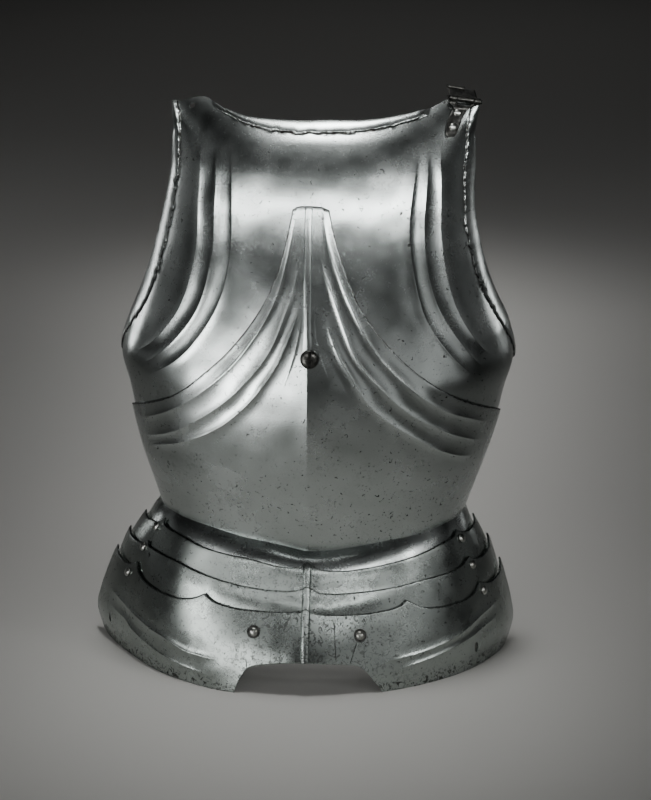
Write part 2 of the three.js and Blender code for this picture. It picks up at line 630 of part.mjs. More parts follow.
// ---- fauld lames ----
function lameTurns(borders) {
  const marks = [-RIB_HALF_WIDTH / 2.4, RIB_HALF_WIDTH / 2.4, ...borders.flat().map((point) => point[0])];
  const sorted = [...new Set(marks)].sort((a, b) => a - b);
  const kept = sorted.filter((turn, i) => i === 0 || turn - sorted[i - 1] > COLUMN_LEAST);
  return kept.flatMap((turn, i) => {
    if (i === 0) return [turn];
    const steps = Math.ceil((turn - kept[i - 1]) / COLUMN_STEP);
    return Array.from({ length: steps }, (_, k) => THREE.MathUtils.lerp(kept[i - 1], turn, (k + 1) / steps));
  });
}

function hiddenEdge(level, turn) {
  const samples = [-8, -4, 0, 4, 8].map((step) => lameEdge[level](turn + step));
  const mean = samples.reduce((sum, z) => sum + z, 0) / samples.length;
  const nearRivet = smooth(50, 58, Math.abs(turn)) * (1 - smooth(74, 82, Math.abs(turn)));
  return mean - HIDDEN_LAP - RIVET_LAP * nearRivet;
}

function lamePoint(level, turn, z, relief = 0) {
  const rib = RIB_HEIGHT * Math.max(0, 1 - Math.abs(fauldPoint(turn, z).x) / RIB_HALF_WIDTH);
  const point = raised(fauldPoint, turn, z, lameHeight(level, turn, z) + Math.max(rib, relief));
  if (z === 0) point.z = 0;
  return point;
}

function upperLame(level) {
  const turns = lameTurns([LAME_EDGE[level - 1]]);
  const rows = LAME_ROWS.map((share) => turns.map((turn) => {
    const z = THREE.MathUtils.lerp(lameEdge[level - 1](turn), hiddenEdge(level, turn), share);
    return lamePoint(level, turn, z);
  }));
  const plate = new Plate();
  plate.addRows(rows);
  return plate.solid(PLATE);
}

function lowestLame() {
  const [first, second] = LAME_FLUTES.map((flute) => ({ ...flute, z: border(flute.line) }));
  const height = (flute, turn) => LAME_FLUTE_HEIGHT
    * smooth(flute.from, flute.from + LAME_FLUTE_RISE, Math.abs(turn))
    * (1 - smooth(flute.to - LAME_FLUTE_FADE, flute.to, Math.abs(turn)));
  const turns = lameTurns([LAME_EDGE[2], LOWER_EDGE]);
  const columns = turns.map((turn) => {
    const top = lameEdge[2](turn);
    const low = lowerEdge(turn);
    const one = first.z(turn);
    const two = second.z(turn);
    return [
      [top, 0],
      [one + FLUTE_FOOT, 0],
      [one, height(first, turn)],
      [(one + two) / 2, 0],
      [two, height(second, turn)],
      [Math.max(two - FLUTE_FOOT, (two + low) / 2), 0],
      [low, 0],
    ].map(([z, relief]) => lamePoint(3, turn, z, relief));
  });
  const plate = new Plate();
  plate.addRows(columns[0].map((_, j) => columns.map((points) => points[j])));
  return plate.solid(PLATE);
}

// ---- rivets, washers and screw ----
function crossings(solid, origin, direction) {
  const mesh = new THREE.Mesh(toGeometry(solid), new THREE.MeshBasicMaterial({ side: THREE.DoubleSide }));
  return new THREE.Raycaster(origin, direction, 0, 60).intersectObject(mesh).map((hit) => hit.distance);
}

// Where a fastener sits: on the outer plate's outer face, with the depth down to the inner face
// of the inner plate.
function seatOn(outer, inner, surface, [turn, z]) {
  const outward = normalOf(surface, turn, z);
  const start = raised(surface, turn, z, 30);
  const inward = outward.clone().negate();
  const near = Math.min(...crossings(outer, start, inward));
  const far = Math.max(...crossings(inner, start, inward));
  return { point: start.addScaledVector(inward, near), outward, depth: far - near };
}

function cutter(seat, radius, wide = 1, tall = 1) {
  const low = -seat.depth - CUTTER.under;
  const high = CUTTER.over;
  const place = standing(seat.point, seat.outward);
  place.multiply(new THREE.Matrix4().makeScale(wide, 1, tall));
  return turned([[0, low], [radius, low], [radius, high], [0, high]], CUTTER.sides, place);
}

function rivet(seat, slack) {
  const under = -seat.depth - slack;
  return turned([
    [0, under - RIVET.peenRise],
    [RIVET.peen, under],
    [RIVET.shank, under],
    [RIVET.shank, slack],
    [RIVET.head, slack],
    [RIVET.head * 0.86, slack + RIVET.rise * 0.55],
    [RIVET.head * 0.5, slack + RIVET.rise * 0.92],
    [0, slack + RIVET.rise],
  ], RIVET.sides, standing(seat.point, seat.outward));
}

function washer(seat) {
  const { radius, bore, thickness, sides } = TASSET_WASHER;
  const low = GAP;
  const high = GAP + thickness;
  const place = standing(seat.point, seat.outward);
  const disc = turned([[0, low], [radius, low], [radius, high], [0, high]], sides, place);
  return disc.subtract(turned([[0, -1], [bore, -1], [bore, high + 1], [0, high + 1]], sides, place));
}

function screw(seat) {
  const place = standing(seat.point, seat.outward);
  const under = -seat.depth - SCREW.nutSlack;
  const body = turned([
    [0, under - SCREW.nutThickness],
    [SCREW.nut, under - SCREW.nutThickness],
    [SCREW.nut, under],
    [SCREW.shank, under],
    [SCREW.shank, SCREW.slack],
    [SCREW.head, SCREW.slack],
    [SCREW.head, SCREW.slack + SCREW.rim],
    [SCREW.head * 0.78, SCREW.slack + SCREW.rise * 0.68],
    [SCREW.head * 0.38, SCREW.slack + SCREW.rise],
    [0, SCREW.slack + SCREW.rise],
  ], SCREW.sides, place);
  const slot = new THREE.BoxGeometry(SCREW.slotWidth, SCREW.slotDepth * 2, SCREW.head * 3);
  slot.applyMatrix4(new THREE.Matrix4().makeTranslation(0, SCREW.slack + SCREW.rise, 0));
  slot.applyMatrix4(place);
  return body.subtract(fromGeometry(slot));
}

function fromGeometry(geometry) {
  const position = geometry.getAttribute('position');
  const index = geometry.getIndex();
  const shell = new Plate();
  const ids = Array.from({ length: position.count }, (_, i) =>
    shell.index(new THREE.Vector3().fromBufferAttribute(position, i)));
  for (let i = 0; i < index.count; i += 3) {
    shell.addFace(ids[index.getX(i)], ids[index.getX(i + 1)], ids[index.getX(i + 2)]);
  }
  const solid = toManifold(shell.points, shell.faces);
  return solid.volume() < 0 ? toManifold(shell.points, shell.faces.map((face) => face.toReversed())) : solid;
}

// ---- shoulder hinge ----
const hingeEnds = HINGE.ends.map(([turn, z]) => raised(bodyPoint, turn, z, HINGE.height));
const hingeCentre = hingeEnds[0].clone().lerp(hingeEnds[1], 0.5);
const hingeAxis = hingeEnds[1].clone().sub(hingeEnds[0]).normalize();

// A round bar along the hinge's axis, between two places on it.
function hingeBar([from, to], radius, offset = new THREE.Vector3()) {
  const place = standing(hingeCentre.clone().add(offset), hingeAxis);
  return turned([[0, from], [radius, from], [radius, to], [0, to]], HINGE.sides, place);
}

function hingeLeaf() {
  const [lowTurn, lowZ] = HINGE.leafLow;
  const rows = HINGE.leafRows.map((down) => {
    const taper = THREE.MathUtils.lerp(...HINGE.leafHalfWidths, smooth(0.08, 0.2, down));
    const halfWidth = taper * Math.sqrt(1.02 - down ** 6 * HINGE.leafRounding);
    const curl = HINGE.curl * (1 - smooth(0.08, 0.25, down));
    return HINGE.leafColumns.map((across) => {
      const topZ = THREE.MathUtils.lerp(HINGE.ends[0][1], HINGE.ends[1][1], (across + 1) / 2);
      const turn = THREE.MathUtils.lerp(HINGE.leafTop, lowTurn, down) + across * halfWidth;
      const z = THREE.MathUtils.lerp(topZ, lowZ, down);
      return raised(bodyPoint, turn, z, HINGE.leaf + HINGE.leafGap + curl);
    });
  });
  const leaf = new Plate();
  leaf.addRows(rows);
  const [from, to] = HINGE.loopKnuckle;
  const clear = hingeBar([from - HINGE.clearance, to + HINGE.clearance], HINGE.knuckle + HINGE.clearance);
  const knuckles = HINGE.fixedKnuckles.map((span) => hingeBar(span, HINGE.knuckle));
  const body = knuckles.reduce((sum, knuckle) => sum.add(knuckle), leaf.solid(HINGE.leaf).subtract(clear));
  return body.subtract(hingeBar(HINGE.boreSpan, HINGE.bore));
}

function hingeLoop() {
  const up = new THREE.Vector3(0, 0, 1);
  const back = new THREE.Vector3().crossVectors(up, hingeAxis).normalize();
  const tilt = THREE.MathUtils.degToRad(HINGE.loopTilt);
  const reach = back.multiplyScalar(Math.cos(tilt)).addScaledVector(up, Math.sin(tilt)).normalize();
  const normal = new THREE.Vector3().crossVectors(hingeAxis, reach).normalize();
  const basis = new THREE.Matrix4().makeBasis(hingeAxis, reach, normal).setPosition(hingeCentre);
  const [from, to] = HINGE.loopWidth;
  const slab = new THREE.BoxGeometry(to - from, HINGE.loopLength - HINGE.knuckle, HINGE.leaf);
  slab.translate((from + to) / 2, (HINGE.loopLength + HINGE.knuckle) / 2 + HINGE.loopGap, 0);
  const [neckFrom, neckTo] = HINGE.loopKnuckle;
  const neck = new THREE.BoxGeometry(neckTo - neckFrom, HINGE.knuckle * 2, HINGE.leaf);
  neck.translate((neckFrom + neckTo) / 2, HINGE.knuckle * 1.2, 0);
  const far = reach.clone().multiplyScalar(HINGE.loopLength);
  return fromGeometry(slab.applyMatrix4(basis))
    .add(fromGeometry(neck.applyMatrix4(basis)))
    .add(hingeBar(HINGE.loopKnuckle, HINGE.knuckle))
    .add(hingeBar(HINGE.barSpan, HINGE.bar, far))
    .subtract(hingeBar(HINGE.boreSpan, HINGE.bore));
}

function hingePin() {
  const shaft = hingeBar([-HINGE.pinReach, HINGE.pinReach], HINGE.pin);
  return HINGE.pinHeads.reduce((sum, span) => sum.add(hingeBar(span, HINGE.pinHead)), shaft);
}

// ---- assembly ----
const plates = {
  breastplate: breastplate(),
  plackart: plackart(),
  lame_1: upperLame(1),
  lame_2: upperLame(2),
  lame_3: lowestLame(),
};
const whole = { ...plates };
const pieces = {};

LAME_RIVETS.forEach((sides, i) => {
  const outer = `lame_${i + 1}`;
  const inner = i === 0 ? 'plackart' : `lame_${i}`;
  for (const side of ['left', 'right']) {
    const seat = seatOn(whole[outer], whole[inner], fauldPoint, sides[side]);
    pieces[`${outer}_rivet_${side}`] = rivet(seat, LAME_RIVET_SLACK);
    const hole = cutter(seat, RIVET.hole);
    plates[outer] = plates[outer].subtract(hole);
    plates[inner] = plates[inner].subtract(hole);
  }
});

for (const side of ['left', 'right']) {
  const seat = seatOn(whole.lame_3, whole.lame_3, fauldPoint, TASSET_RIVETS[side]);
  pieces[`tasset_washer_${side}`] = washer(seat);
  plates.lame_3 = plates.lame_3.subtract(cutter(seat, RIVET.hole));
  const onWasher = { ...seat, point: seat.point.clone(), depth: seat.depth + GAP + TASSET_WASHER.thickness };
  onWasher.point.addScaledVector(seat.outward, GAP + TASSET_WASHER.thickness);
  pieces[`tasset_rivet_${side}`] = rivet(onWasher, GAP);
}

for (const { at, length, width } of SIDE_HOLES) {
  const seat = seatOn(whole.lame_3, whole.lame_3, fauldPoint, at);
  plates.lame_3 = plates.lame_3.subtract(cutter(seat, 1, width / 2, length / 2));
}

const shoulderSeat = seatOn(whole.breastplate, whole.breastplate, bodyPoint, SHOULDER_HOLE.at);
plates.breastplate = plates.breastplate.subtract(cutter(shoulderSeat, SHOULDER_HOLE.width / 2));

const screwSeat = seatOn(whole.plackart, whole.breastplate, bodyPoint, SCREW.at);
pieces.central_screw = screw(screwSeat);
plates.plackart = plates.plackart.subtract(cutter(screwSeat, SCREW.hole));
plates.breastplate = plates.breastplate.subtract(cutter(screwSeat, SCREW.hole));

pieces.hinge_leaf = hingeLeaf();
const wholeLeaf = pieces.hinge_leaf;
for (const [name, at] of Object.entries(HINGE_RIVETS)) {
  const seat = seatOn(wholeLeaf, whole.breastplate, bodyPoint, at);
  pieces[`hinge_rivet_${name}`] = rivet(seat, GAP * 2);
  const hole = cutter(seat, RIVET.shank + GAP);
  pieces.hinge_leaf = pieces.hinge_leaf.subtract(hole);
  plates.breastplate = plates.breastplate.subtract(hole);
}
pieces.hinge_pin = hingePin();
pieces.hinge_loop = hingeLoop();

const group = new THREE.Group();
for (const [name, solid] of Object.entries({ ...plates, ...pieces })) {
  const material = new THREE.MeshStandardMaterial({ color: COLOURS[name] ?? FITTING_COLOUR, ...STEEL });
  const mesh = new THREE.Mesh(toGeometry(solid), material);
  mesh.name = name;
  group.add(mesh);
}

const box = new THREE.Box3().setFromObject(group);
const middle = box.getCenter(new THREE.Vector3());
group.position.set(-middle.x, -middle.y, -box.min.z);

export default group;
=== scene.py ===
import math
from functools import partial
import bpy
import numpy as np
from mathutils import Matrix, Vector


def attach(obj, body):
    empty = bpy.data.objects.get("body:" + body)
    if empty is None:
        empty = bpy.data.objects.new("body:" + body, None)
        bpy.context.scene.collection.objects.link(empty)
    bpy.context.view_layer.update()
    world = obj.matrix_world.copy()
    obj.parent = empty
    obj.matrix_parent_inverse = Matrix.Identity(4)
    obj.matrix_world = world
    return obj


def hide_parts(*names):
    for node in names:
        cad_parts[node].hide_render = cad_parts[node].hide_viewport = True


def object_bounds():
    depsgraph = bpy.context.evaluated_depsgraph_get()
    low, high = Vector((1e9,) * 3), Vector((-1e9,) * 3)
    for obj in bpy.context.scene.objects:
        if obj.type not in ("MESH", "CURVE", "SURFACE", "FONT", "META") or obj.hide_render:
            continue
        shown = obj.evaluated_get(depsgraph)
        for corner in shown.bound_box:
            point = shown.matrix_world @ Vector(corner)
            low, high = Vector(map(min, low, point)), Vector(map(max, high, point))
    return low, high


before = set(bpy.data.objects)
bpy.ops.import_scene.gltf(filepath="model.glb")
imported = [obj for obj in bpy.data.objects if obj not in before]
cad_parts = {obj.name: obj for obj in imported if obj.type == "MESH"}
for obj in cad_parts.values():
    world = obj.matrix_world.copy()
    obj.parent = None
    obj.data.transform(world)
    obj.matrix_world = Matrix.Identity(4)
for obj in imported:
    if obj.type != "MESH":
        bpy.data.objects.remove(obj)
cadBox = [list(map(float, corner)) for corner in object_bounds()]

# The plates are worked out in millimetres in the armourer's own frame: the front faces -y and z 0 is the
# lower edge. A place on the steel is a turn (degrees, -90 left, 0 front, 90 right) and a height z.
originShift = np.array([8.945, 79.468, 0.0])

plateCommon = dict(
    thickness=1.5,
    lapGap=1.2,           # air between plackart and breastplate
    sectionPower=2.25,    # superellipse power of the body's plan
    mmPerDegree=2.2,      # makes turn and z comparable along a guide line
    hammerWave=0.10,      # height of the hammered unevenness
    hammerLength=34.0,    # and its length
    hammerWaves=14,       # and how many waves cross each other
    lapFrom=150,          # the plackart lifts off the body's line from this height
    lapTo=330,            # and lies fully over the breastplate from this one
    fluteTaper=12,        # degrees over which a flute dies out at its end
    noMark=9.0,           # distance kept where there is no edge or crack near
)


def toColumns(names, rows):
    return dict(zip(names.split(), np.array(rows, float).T))


bodyTable = toColumns("z left right depth crease", [
    [116, 134.5, 131.5, 106, 22],
    [130, 139, 137, 109, 22],
    [150, 145, 144, 114, 22],
    [170, 151.5, 151, 119, 22],
    [190, 157.5, 157.5, 124, 22],
    [217, 163, 165, 129, 22],
    [245, 168, 171, 132.5, 22],
    [272, 173.5, 177.5, 134, 21],
    [300, 166.5, 172, 133.5, 20],
    [340, 152, 158, 131, 12],
    [380, 141.5, 149, 126, 4],
    [415, 133.5, 144, 118, 0],
    [450, 128, 143, 104, 0],
    [475, 130, 145.5, 86, 0],
    [490, 138, 154, 69, 0],
    [506, 155, 171, 46, 0],
])
waistTable = toColumns("turn z", [
    [-90, 131], [-75, 132.5], [-60, 134], [-45, 132], [-35, 129.5], [-25, 125], [-12, 121], [-3, 117],
    [0, 116], [6, 116], [20, 119.5], [33, 123.5], [45, 125.5], [60, 129], [75, 129.5], [90, 128.5],
])
hemPlan = toColumns("turn x y", [
    [-90, -195, 0], [-75, -186, -26], [-60, -166, -64], [-40, -124, -117], [-20, -66, -152], [0, 0, -164],
    [20, 62, -146], [40, 116, -113], [60, 154, -71], [75, 171, -34], [90, 178, 0],
])
flareTable = toColumns("drop front side", [
    [0, 0, 0], [0.05, 0.17, 0.125], [0.1, 0.27, 0.235], [0.17, 0.35, 0.38], [0.26, 0.45, 0.55],
    [0.36, 0.58, 0.69], [0.45, 0.665, 0.8], [0.57, 0.77, 0.92], [0.68, 0.85, 1.02], [0.82, 0.925, 1.1],
    [0.94, 0.98, 1.04], [1, 1, 1],
])


def smoothCurve(xs, ys):
    # Monotone cubic through a table's two columns.
    step = np.diff(xs)
    rise = np.diff(ys) / step
    slope = np.zeros(len(xs))
    slope[0], slope[-1] = rise[0], rise[-1]
    both = rise[:-1] * rise[1:] > 0
    slope[1:-1] = np.where(both, 2 * rise[:-1] * rise[1:] / np.where(both, rise[:-1] + rise[1:], 1), 0)

    def at(x):
        x = np.clip(x, xs[0], xs[-1])
        i = np.clip(np.searchsorted(xs, x, side="left") - 1, 0, len(xs) - 2)
        h = step[i]
        t = (x - xs[i]) / h
        return (ys[i] * (1 + 2 * t) * (1 - t) ** 2 + h * slope[i] * t * (1 - t) ** 2
                + ys[i + 1] * t * t * (3 - 2 * t) + h * slope[i + 1] * t * t * (t - 1))
    return at


def curveThrough(points):
    return smoothCurve(*np.array(points, float).T)


def smoothStep(low, high, x):
    t = np.clip((x - low) / (high - low), 0, 1)
    return t * t * (3 - 2 * t)


def plackartLift(z):
    lap = plateCommon["thickness"] + plateCommon["lapGap"]
    return lap * smoothStep(plateCommon["lapFrom"], plateCommon["lapTo"], z)


bodyLeft, bodyRight, bodyDepth, bodyCrease = (
    smoothCurve(bodyTable["z"], bodyTable[name]) for name in ("left", "right", "depth", "crease"))
waistHeight = smoothCurve(waistTable["turn"], waistTable["z"])
hemX = smoothCurve(hemPlan["turn"], hemPlan["x"])
hemY = smoothCurve(hemPlan["turn"], hemPlan["y"])
flareFront = smoothCurve(flareTable["drop"], flareTable["front"])
flareSide = smoothCurve(flareTable["drop"], flareTable["side"])


def bodyPoint(turn, z):
    power = plateCommon["sectionPower"]
    angle = np.radians(turn)
    s, c = np.abs(np.sin(angle)), np.cos(angle)
    reach = (s ** power + np.abs(c) ** power) ** (-1 / power)
    across = s * reach
    halfWidth = np.where(turn < 0, -bodyLeft(z), bodyRight(z))
    fallAway = bodyCrease(z) * across * np.maximum(1 - across, 0) ** 1.5
    return np.stack([halfWidth * across, fallAway - bodyDepth(z) * c * reach, z + 0 * turn], -1)


def fauldPoint(turn, z):
    top = waistHeight(turn)
    start = bodyPoint(turn, top)
    drop = (top - z) / top
    side = np.sin(np.radians(turn)) ** 2
    share = flareFront(drop) * (1 - side) + flareSide(drop) * side
    x = start[..., 0] + (hemX(turn) - start[..., 0]) * share
    y = start[..., 1] + (hemY(turn) - start[..., 1]) * share
    return np.stack([x, y, z + 0 * turn], -1)


def unit(v):
    return v / np.maximum(np.linalg.norm(v, axis=-1, keepdims=True), 1e-9)


def surfaceNormal(surface, turn, z):
    across = surface(np.minimum(turn + 0.5, 90), z) - surface(np.maximum(turn - 0.5, -90), z)
    up = surface(turn, z + 0.5) - surface(turn, z - 0.5)
    return unit(np.cross(across, up))


def raised(surface, turn, z, height):
    turn, z = np.asarray(turn, float), np.asarray(z, float)
    return surface(turn, z) + surfaceNormal(surface, turn, z) * np.asarray(height, float)[..., None]


def seatOn(surface, turn, z, lift=0.0):
    # One place on the steel: the raised point and the direction straight out of it.
    turn, z = np.array(turn, float), np.array(z, float)
    return raised(surface, turn, z, lift), surfaceNormal(surface, turn, z)


def hammering(points, seed, length=plateCommon["hammerLength"]):
    # Soft unevenness of hand-hammered plate: a few crossing waves with fixed random directions.
    draw = np.random.default_rng(seed)
    total = np.zeros(points.shape[:-1])
    for _ in range(plateCommon["hammerWaves"]):
        direction = unit(draw.normal(size=3))
        stretch = length * draw.uniform(0.45, 1.6)
        phase = draw.uniform(0, 2 * np.pi)
        total += np.sin(points @ direction * 2 * np.pi / stretch + phase) * stretch / length
    return plateCommon["hammerWave"] * total / 3


def ragged(seed, count, spread, every=2):
    # Uneven line: fixed random values a few steps apart, some of them deeper notches.
    draw = np.random.default_rng(seed)
    marks = np.arange(0, count + every, every)
    values = draw.normal(0, spread, len(marks))
    notch = draw.random(len(marks)) < 0.10
    values[notch] -= draw.uniform(1.0, 2.6, notch.sum()) * spread
    return np.interp(np.arange(count), marks, values)


def runningLength(points, axis=0):
    # Length travelled along a line, or along one direction of a net, from its first point on.
    steps = np.linalg.norm(np.diff(points, axis=axis), axis=-1)
    return np.concatenate([np.zeros_like(steps.take([0], axis)), np.cumsum(steps, axis=axis)], axis=axis)


def evened(line, run, reach=9.0, step=1.5):
    # Evens out a drawn line over a few millimetres and leaves its ends where they are.
    count = max(int(run[-1] / step), 8)
    even = np.linspace(0, run[-1], count + 1)
    line = np.stack([np.interp(even, run, line[:, k]) for k in (0, 1)], -1)
    pad = int(3 * reach / step)
    low = 2 * line[0] - line[1:pad + 1][::-1]
    high = 2 * line[-1] - line[-pad - 1:-1][::-1]
    padded = np.vstack([low, line, high])
    window = np.exp(-0.5 * (np.arange(-pad, pad + 1) * step / reach) ** 2)
    window /= window.sum()
    return np.stack([np.convolve(padded[:, k], window, mode="valid") for k in (0, 1)], -1)


# Nets: guide lines of [turn, z] with columns between them, each column cut into rows.
def guideLine(points):
    points = np.array(points, float) * [plateCommon["mmPerDegree"], 1]
    padded = np.vstack([points[:1], points, points[-1:]])
    t = np.linspace(0, 1, 41)[:-1, None]
    pieces = []
    for i in range(len(points) - 1):
        a, b, c, d = padded[i:i + 4]
        v0, v1 = (c - a) / 2, (d - b) / 2
        bend, swing = 2 * b - 2 * c + v0 + v1, -3 * b + 3 * c - 2 * v0 - v1
        pieces.append(bend * t ** 3 + swing * t ** 2 + v0 * t + b)
    line = np.vstack(pieces + [points[-1:]])
    line = evened(line, runningLength(line))
    run = runningLength(line)
    return dict(line=line / [plateCommon["mmPerDegree"], 1], run=run / run[-1], length=run[-1])


def alongGuide(guide, share):
    return np.stack([np.interp(share, guide["run"], guide["line"][:, k]) for k in (0, 1)], -1)


def netColumns(guides, spans):
    # Columns from the left side over the centre to the right side, each between its guides a and b.
    centre = guideLine(guides["centre"])
    sides = {}
    for side in ("left", "right"):
        lines = {name: guideLine(line) for name, line in guides[side].items()}
        lines["centre"] = centre
        sides[side] = [dict(a=lines[a], b=lines[b], across=share, name=None if share else a, side=side)
                       for a, b, places in spans for share in places]
    middle = dict(a=centre, b=centre, across=0.0, name="centre", side="centre")
    return sides["left"] + [middle] + sides["right"][::-1]


def columnPlaces(column, share):
    a, b = alongGuide(column["a"], share), alongGuide(column["b"], share)
    return a + (b - a) * column["across"]


def columnLength(column):
    return column["a"]["length"] * (1 - column["across"]) + column["b"]["length"] * column["across"]


def rowDistances(points):
    # Running length along each row, and how square the rows are to the columns.
    acrossDir, downDir = (unit(np.gradient(points, axis=k)) for k in (1, 0))
    square = np.linalg.norm(np.cross(acrossDir, downDir), axis=-1)
    return runningLength(points, 1), np.clip(square, 0.3, 1)


def ridge(distance, halfWidth):
    # Sharp crest between two hollow slopes, its arris worn down by polishing.
    worn = np.sqrt(distance ** 2 + 0.3 ** 2)
    bead = 0.16 * np.exp(-(distance / 0.75) ** 2)
    return np.clip(1 - worn / halfWidth, 0, 1) ** 2 + bead


# Joins nets into one closed plate with an outer face, an inner face and square edges.
class PlateShape:
    away = dict(rawEdge=plateCommon["noMark"], crack=plateCommon["noMark"], crackReach=0.0, wear=0.0)
    holeDepth = 8.0       # how far above and below its place a hole reaches

    def __init__(self):
        self.outer, self.inner, self.quads, self.marks, self.holes = [], [], [], [], []
        self.count = 0

    def addNet(self, outer, inner, firstRow=None, marks=None):
        # Marks are distances to the painted shade line along an edge and to a crack (mm), the crack's reach
        # and the wear.
        rows, cols = outer.shape[:2]
        marks = {key: (marks or {}).get(key, np.full((rows, cols), away))
                 for key, away in self.away.items()}
        ids = self.count + np.arange(rows * cols).reshape(rows, cols)
        if firstRow is not None:
            ids = ids - cols
            ids[0] = firstRow
            outer, inner = outer[1:], inner[1:]
            marks = {key: value[1:] for key, value in marks.items()}
        self.marks.append({key: value.ravel() for key, value in marks.items()})
        self.outer.append(outer.reshape(-1, 3))
        self.inner.append(inner.reshape(-1, 3))
        self.count += outer.shape[0] * cols
        corners = [ids[:-1, :-1], ids[1:, :-1], ids[1:, 1:], ids[:-1, 1:]]
        self.quads.append(np.stack(corners, -1).reshape(-1, 4))
        return ids

    def cutHole(self, centre, normal, halfTall, halfWide):
        self.holes.append((centre, normal, halfTall, halfWide))

    def openHoles(self, outer, inner, quads):
        # Takes the quads inside each hole away and moves the rest of their corners onto its rim.
        for centre, normal, halfTall, halfWide in self.holes:
            across = unit(np.cross([0, 0, 1], normal))
            tall = np.cross(normal, across)
            offset = outer - centre
            u, v = offset @ across / halfWide, offset @ tall / halfTall
            away = np.hypot(u, v)
            inside = (away < 1) & (np.abs(offset @ normal) < self.holeDepth)
            quads = quads[~inside[quads].all(1)]
            rim = np.intersect1d(np.unique(quads), np.flatnonzero(inside))
            push = 1 / np.maximum(away[rim], 0.05) - 1
            sideways, upward = u[rim] * push * halfWide, v[rim] * push * halfTall
            move = sideways[:, None] * across + upward[:, None] * tall
            outer[rim] += move
            inner[rim] += move
        return quads

    def shape(self):
        outer, inner = np.vstack(self.outer), np.vstack(self.inner)
        quads = self.openHoles(outer, inner, np.vstack(self.quads))
        n = len(outer)
        edges = np.vstack([quads[:, [i, (i + 1) % 4]] for i in range(4)])
        code, back = edges[:, 0] * n + edges[:, 1], edges[:, 1] * n + edges[:, 0]
        rim = edges[~np.isin(back, code)]
        strips = np.stack([rim[:, 1], rim[:, 0], rim[:, 0] + n, rim[:, 1] + n], -1)
        return np.vstack([outer, inner]), np.vstack([quads, quads[:, ::-1] + n, strips]).tolist()

    def build(self, name):
        obj = meshObject(name, *self.shape())
        for key, away in self.away.items():
            values = np.concatenate([m[key] for m in self.marks] + [np.full(self.count, away)])
            mark = obj.data.attributes.new(key, "FLOAT", "POINT")
            mark.data.foreach_set("value", values.astype(np.float32))
        return obj


def placeInScene(name, data):
    obj = bpy.data.objects.new(name, data)
    bpy.context.scene.collection.objects.link(obj)
    return obj


def meshObject(name, pointsMm, faces, sharpAngle=32):
    points = np.clip((np.asarray(pointsMm) + originShift) / 1000, *cadBox)    # nothing past the CAD's size
    mesh = bpy.data.meshes.new(name)
    mesh.from_pydata(points.tolist(), [], [list(map(int, f)) for f in faces])
    mesh.validate()
    mesh.update()
    mesh.polygons.foreach_set("use_smooth", np.ones(len(mesh.polygons), bool))
    mesh.set_sharp_from_angle(angle=math.radians(sharpAngle))
    return placeInScene(name, mesh)


def dressPiece(obj, node, body, material):
    obj.data.materials.append(material)
    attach(obj, body)
    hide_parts(node)


def cuspedBorder(points):
    # Smooth runs between the cusps of a cut border, so that the cusps stay sharp.
    points = np.array(points, float)
    z = points[:, 1]
    peaks = [i for i in range(1, len(z) - 1) if z[i] - max(z[i - 1], z[i + 1]) > 1]
    stops = [0] + peaks + [len(z) - 1]
    runs = [curveThrough(points[a:b + 1]) for a, b in zip(stops, stops[1:])]
    breaks = points[stops[1:-1], 0]

    def at(turn):
        which = np.searchsorted(breaks, turn)
        return np.select([which == k for k in range(len(runs))], [run(turn) for run in runs])
    return at


def netPlaces(columns, shares):
    places = np.empty(shares.shape + (2,))
    for i, column in enumerate(columns):
        places[:, i] = columnPlaces(column, shares[:, i])
    return places[..., 0], places[..., 1]


def crowded(count, near=0.75):
    # Positions 0 to 1 that lie closer together near both ends.
    s = np.arange(count) / count
    return s - near * np.sin(2 * np.pi * s) / (2 * np.pi)


def edgeProfile(share):
    # A turned edge: round like a flattened tube, with a raw step down on the inside.
    tube = np.sqrt(np.clip(1 - ((share - 0.45) / 0.62) ** 2, 0, 1))
    return np.maximum(tube, 0.35 * (share < 0.3)) * (1 - smoothStep(0.92, 1.02, share))


def fluteRelief(flat, turn, z, columns, piece):
    # Flutes of a plate: their crests lie on the guide columns that the piece's values name.
    run, square = rowDistances(flat)
    relief = np.zeros(turn.shape)
    widest = piece["fluteWidth"]
    for side in ("left", "right"):
        crests = {c["name"]: i for i, c in enumerate(columns)
                  if c["side"] == side and c["name"] in piece["flutes"]}
        order = sorted(crests.values())
        for name, i in crests.items():
            k = order.index(i)
            beside = order[k - 1] if k else None, order[k + 1] if k + 1 < len(order) else None
            before, after = (widest if j is None else np.minimum(
                np.abs(run[:, j] - run[:, i]) / 2 * square[:, i], widest)[:, None] for j in beside)
            gap = (run - run[:, i:i + 1]) * square
            width = np.where(gap < 0, before, after)
            low, high, end = piece["flutes"][name]
            fade = (1 - smoothStep(low, high, z)) * (
                1 - smoothStep(end - plateCommon["fluteTaper"], end, np.abs(turn)))
            own = (turn < 0) == (side == "left")
            crest = ridge(gap, np.maximum(width, 1.0)) * fade * own
            relief = np.maximum(relief, crest * piece["fluteHeight"])
    return relief


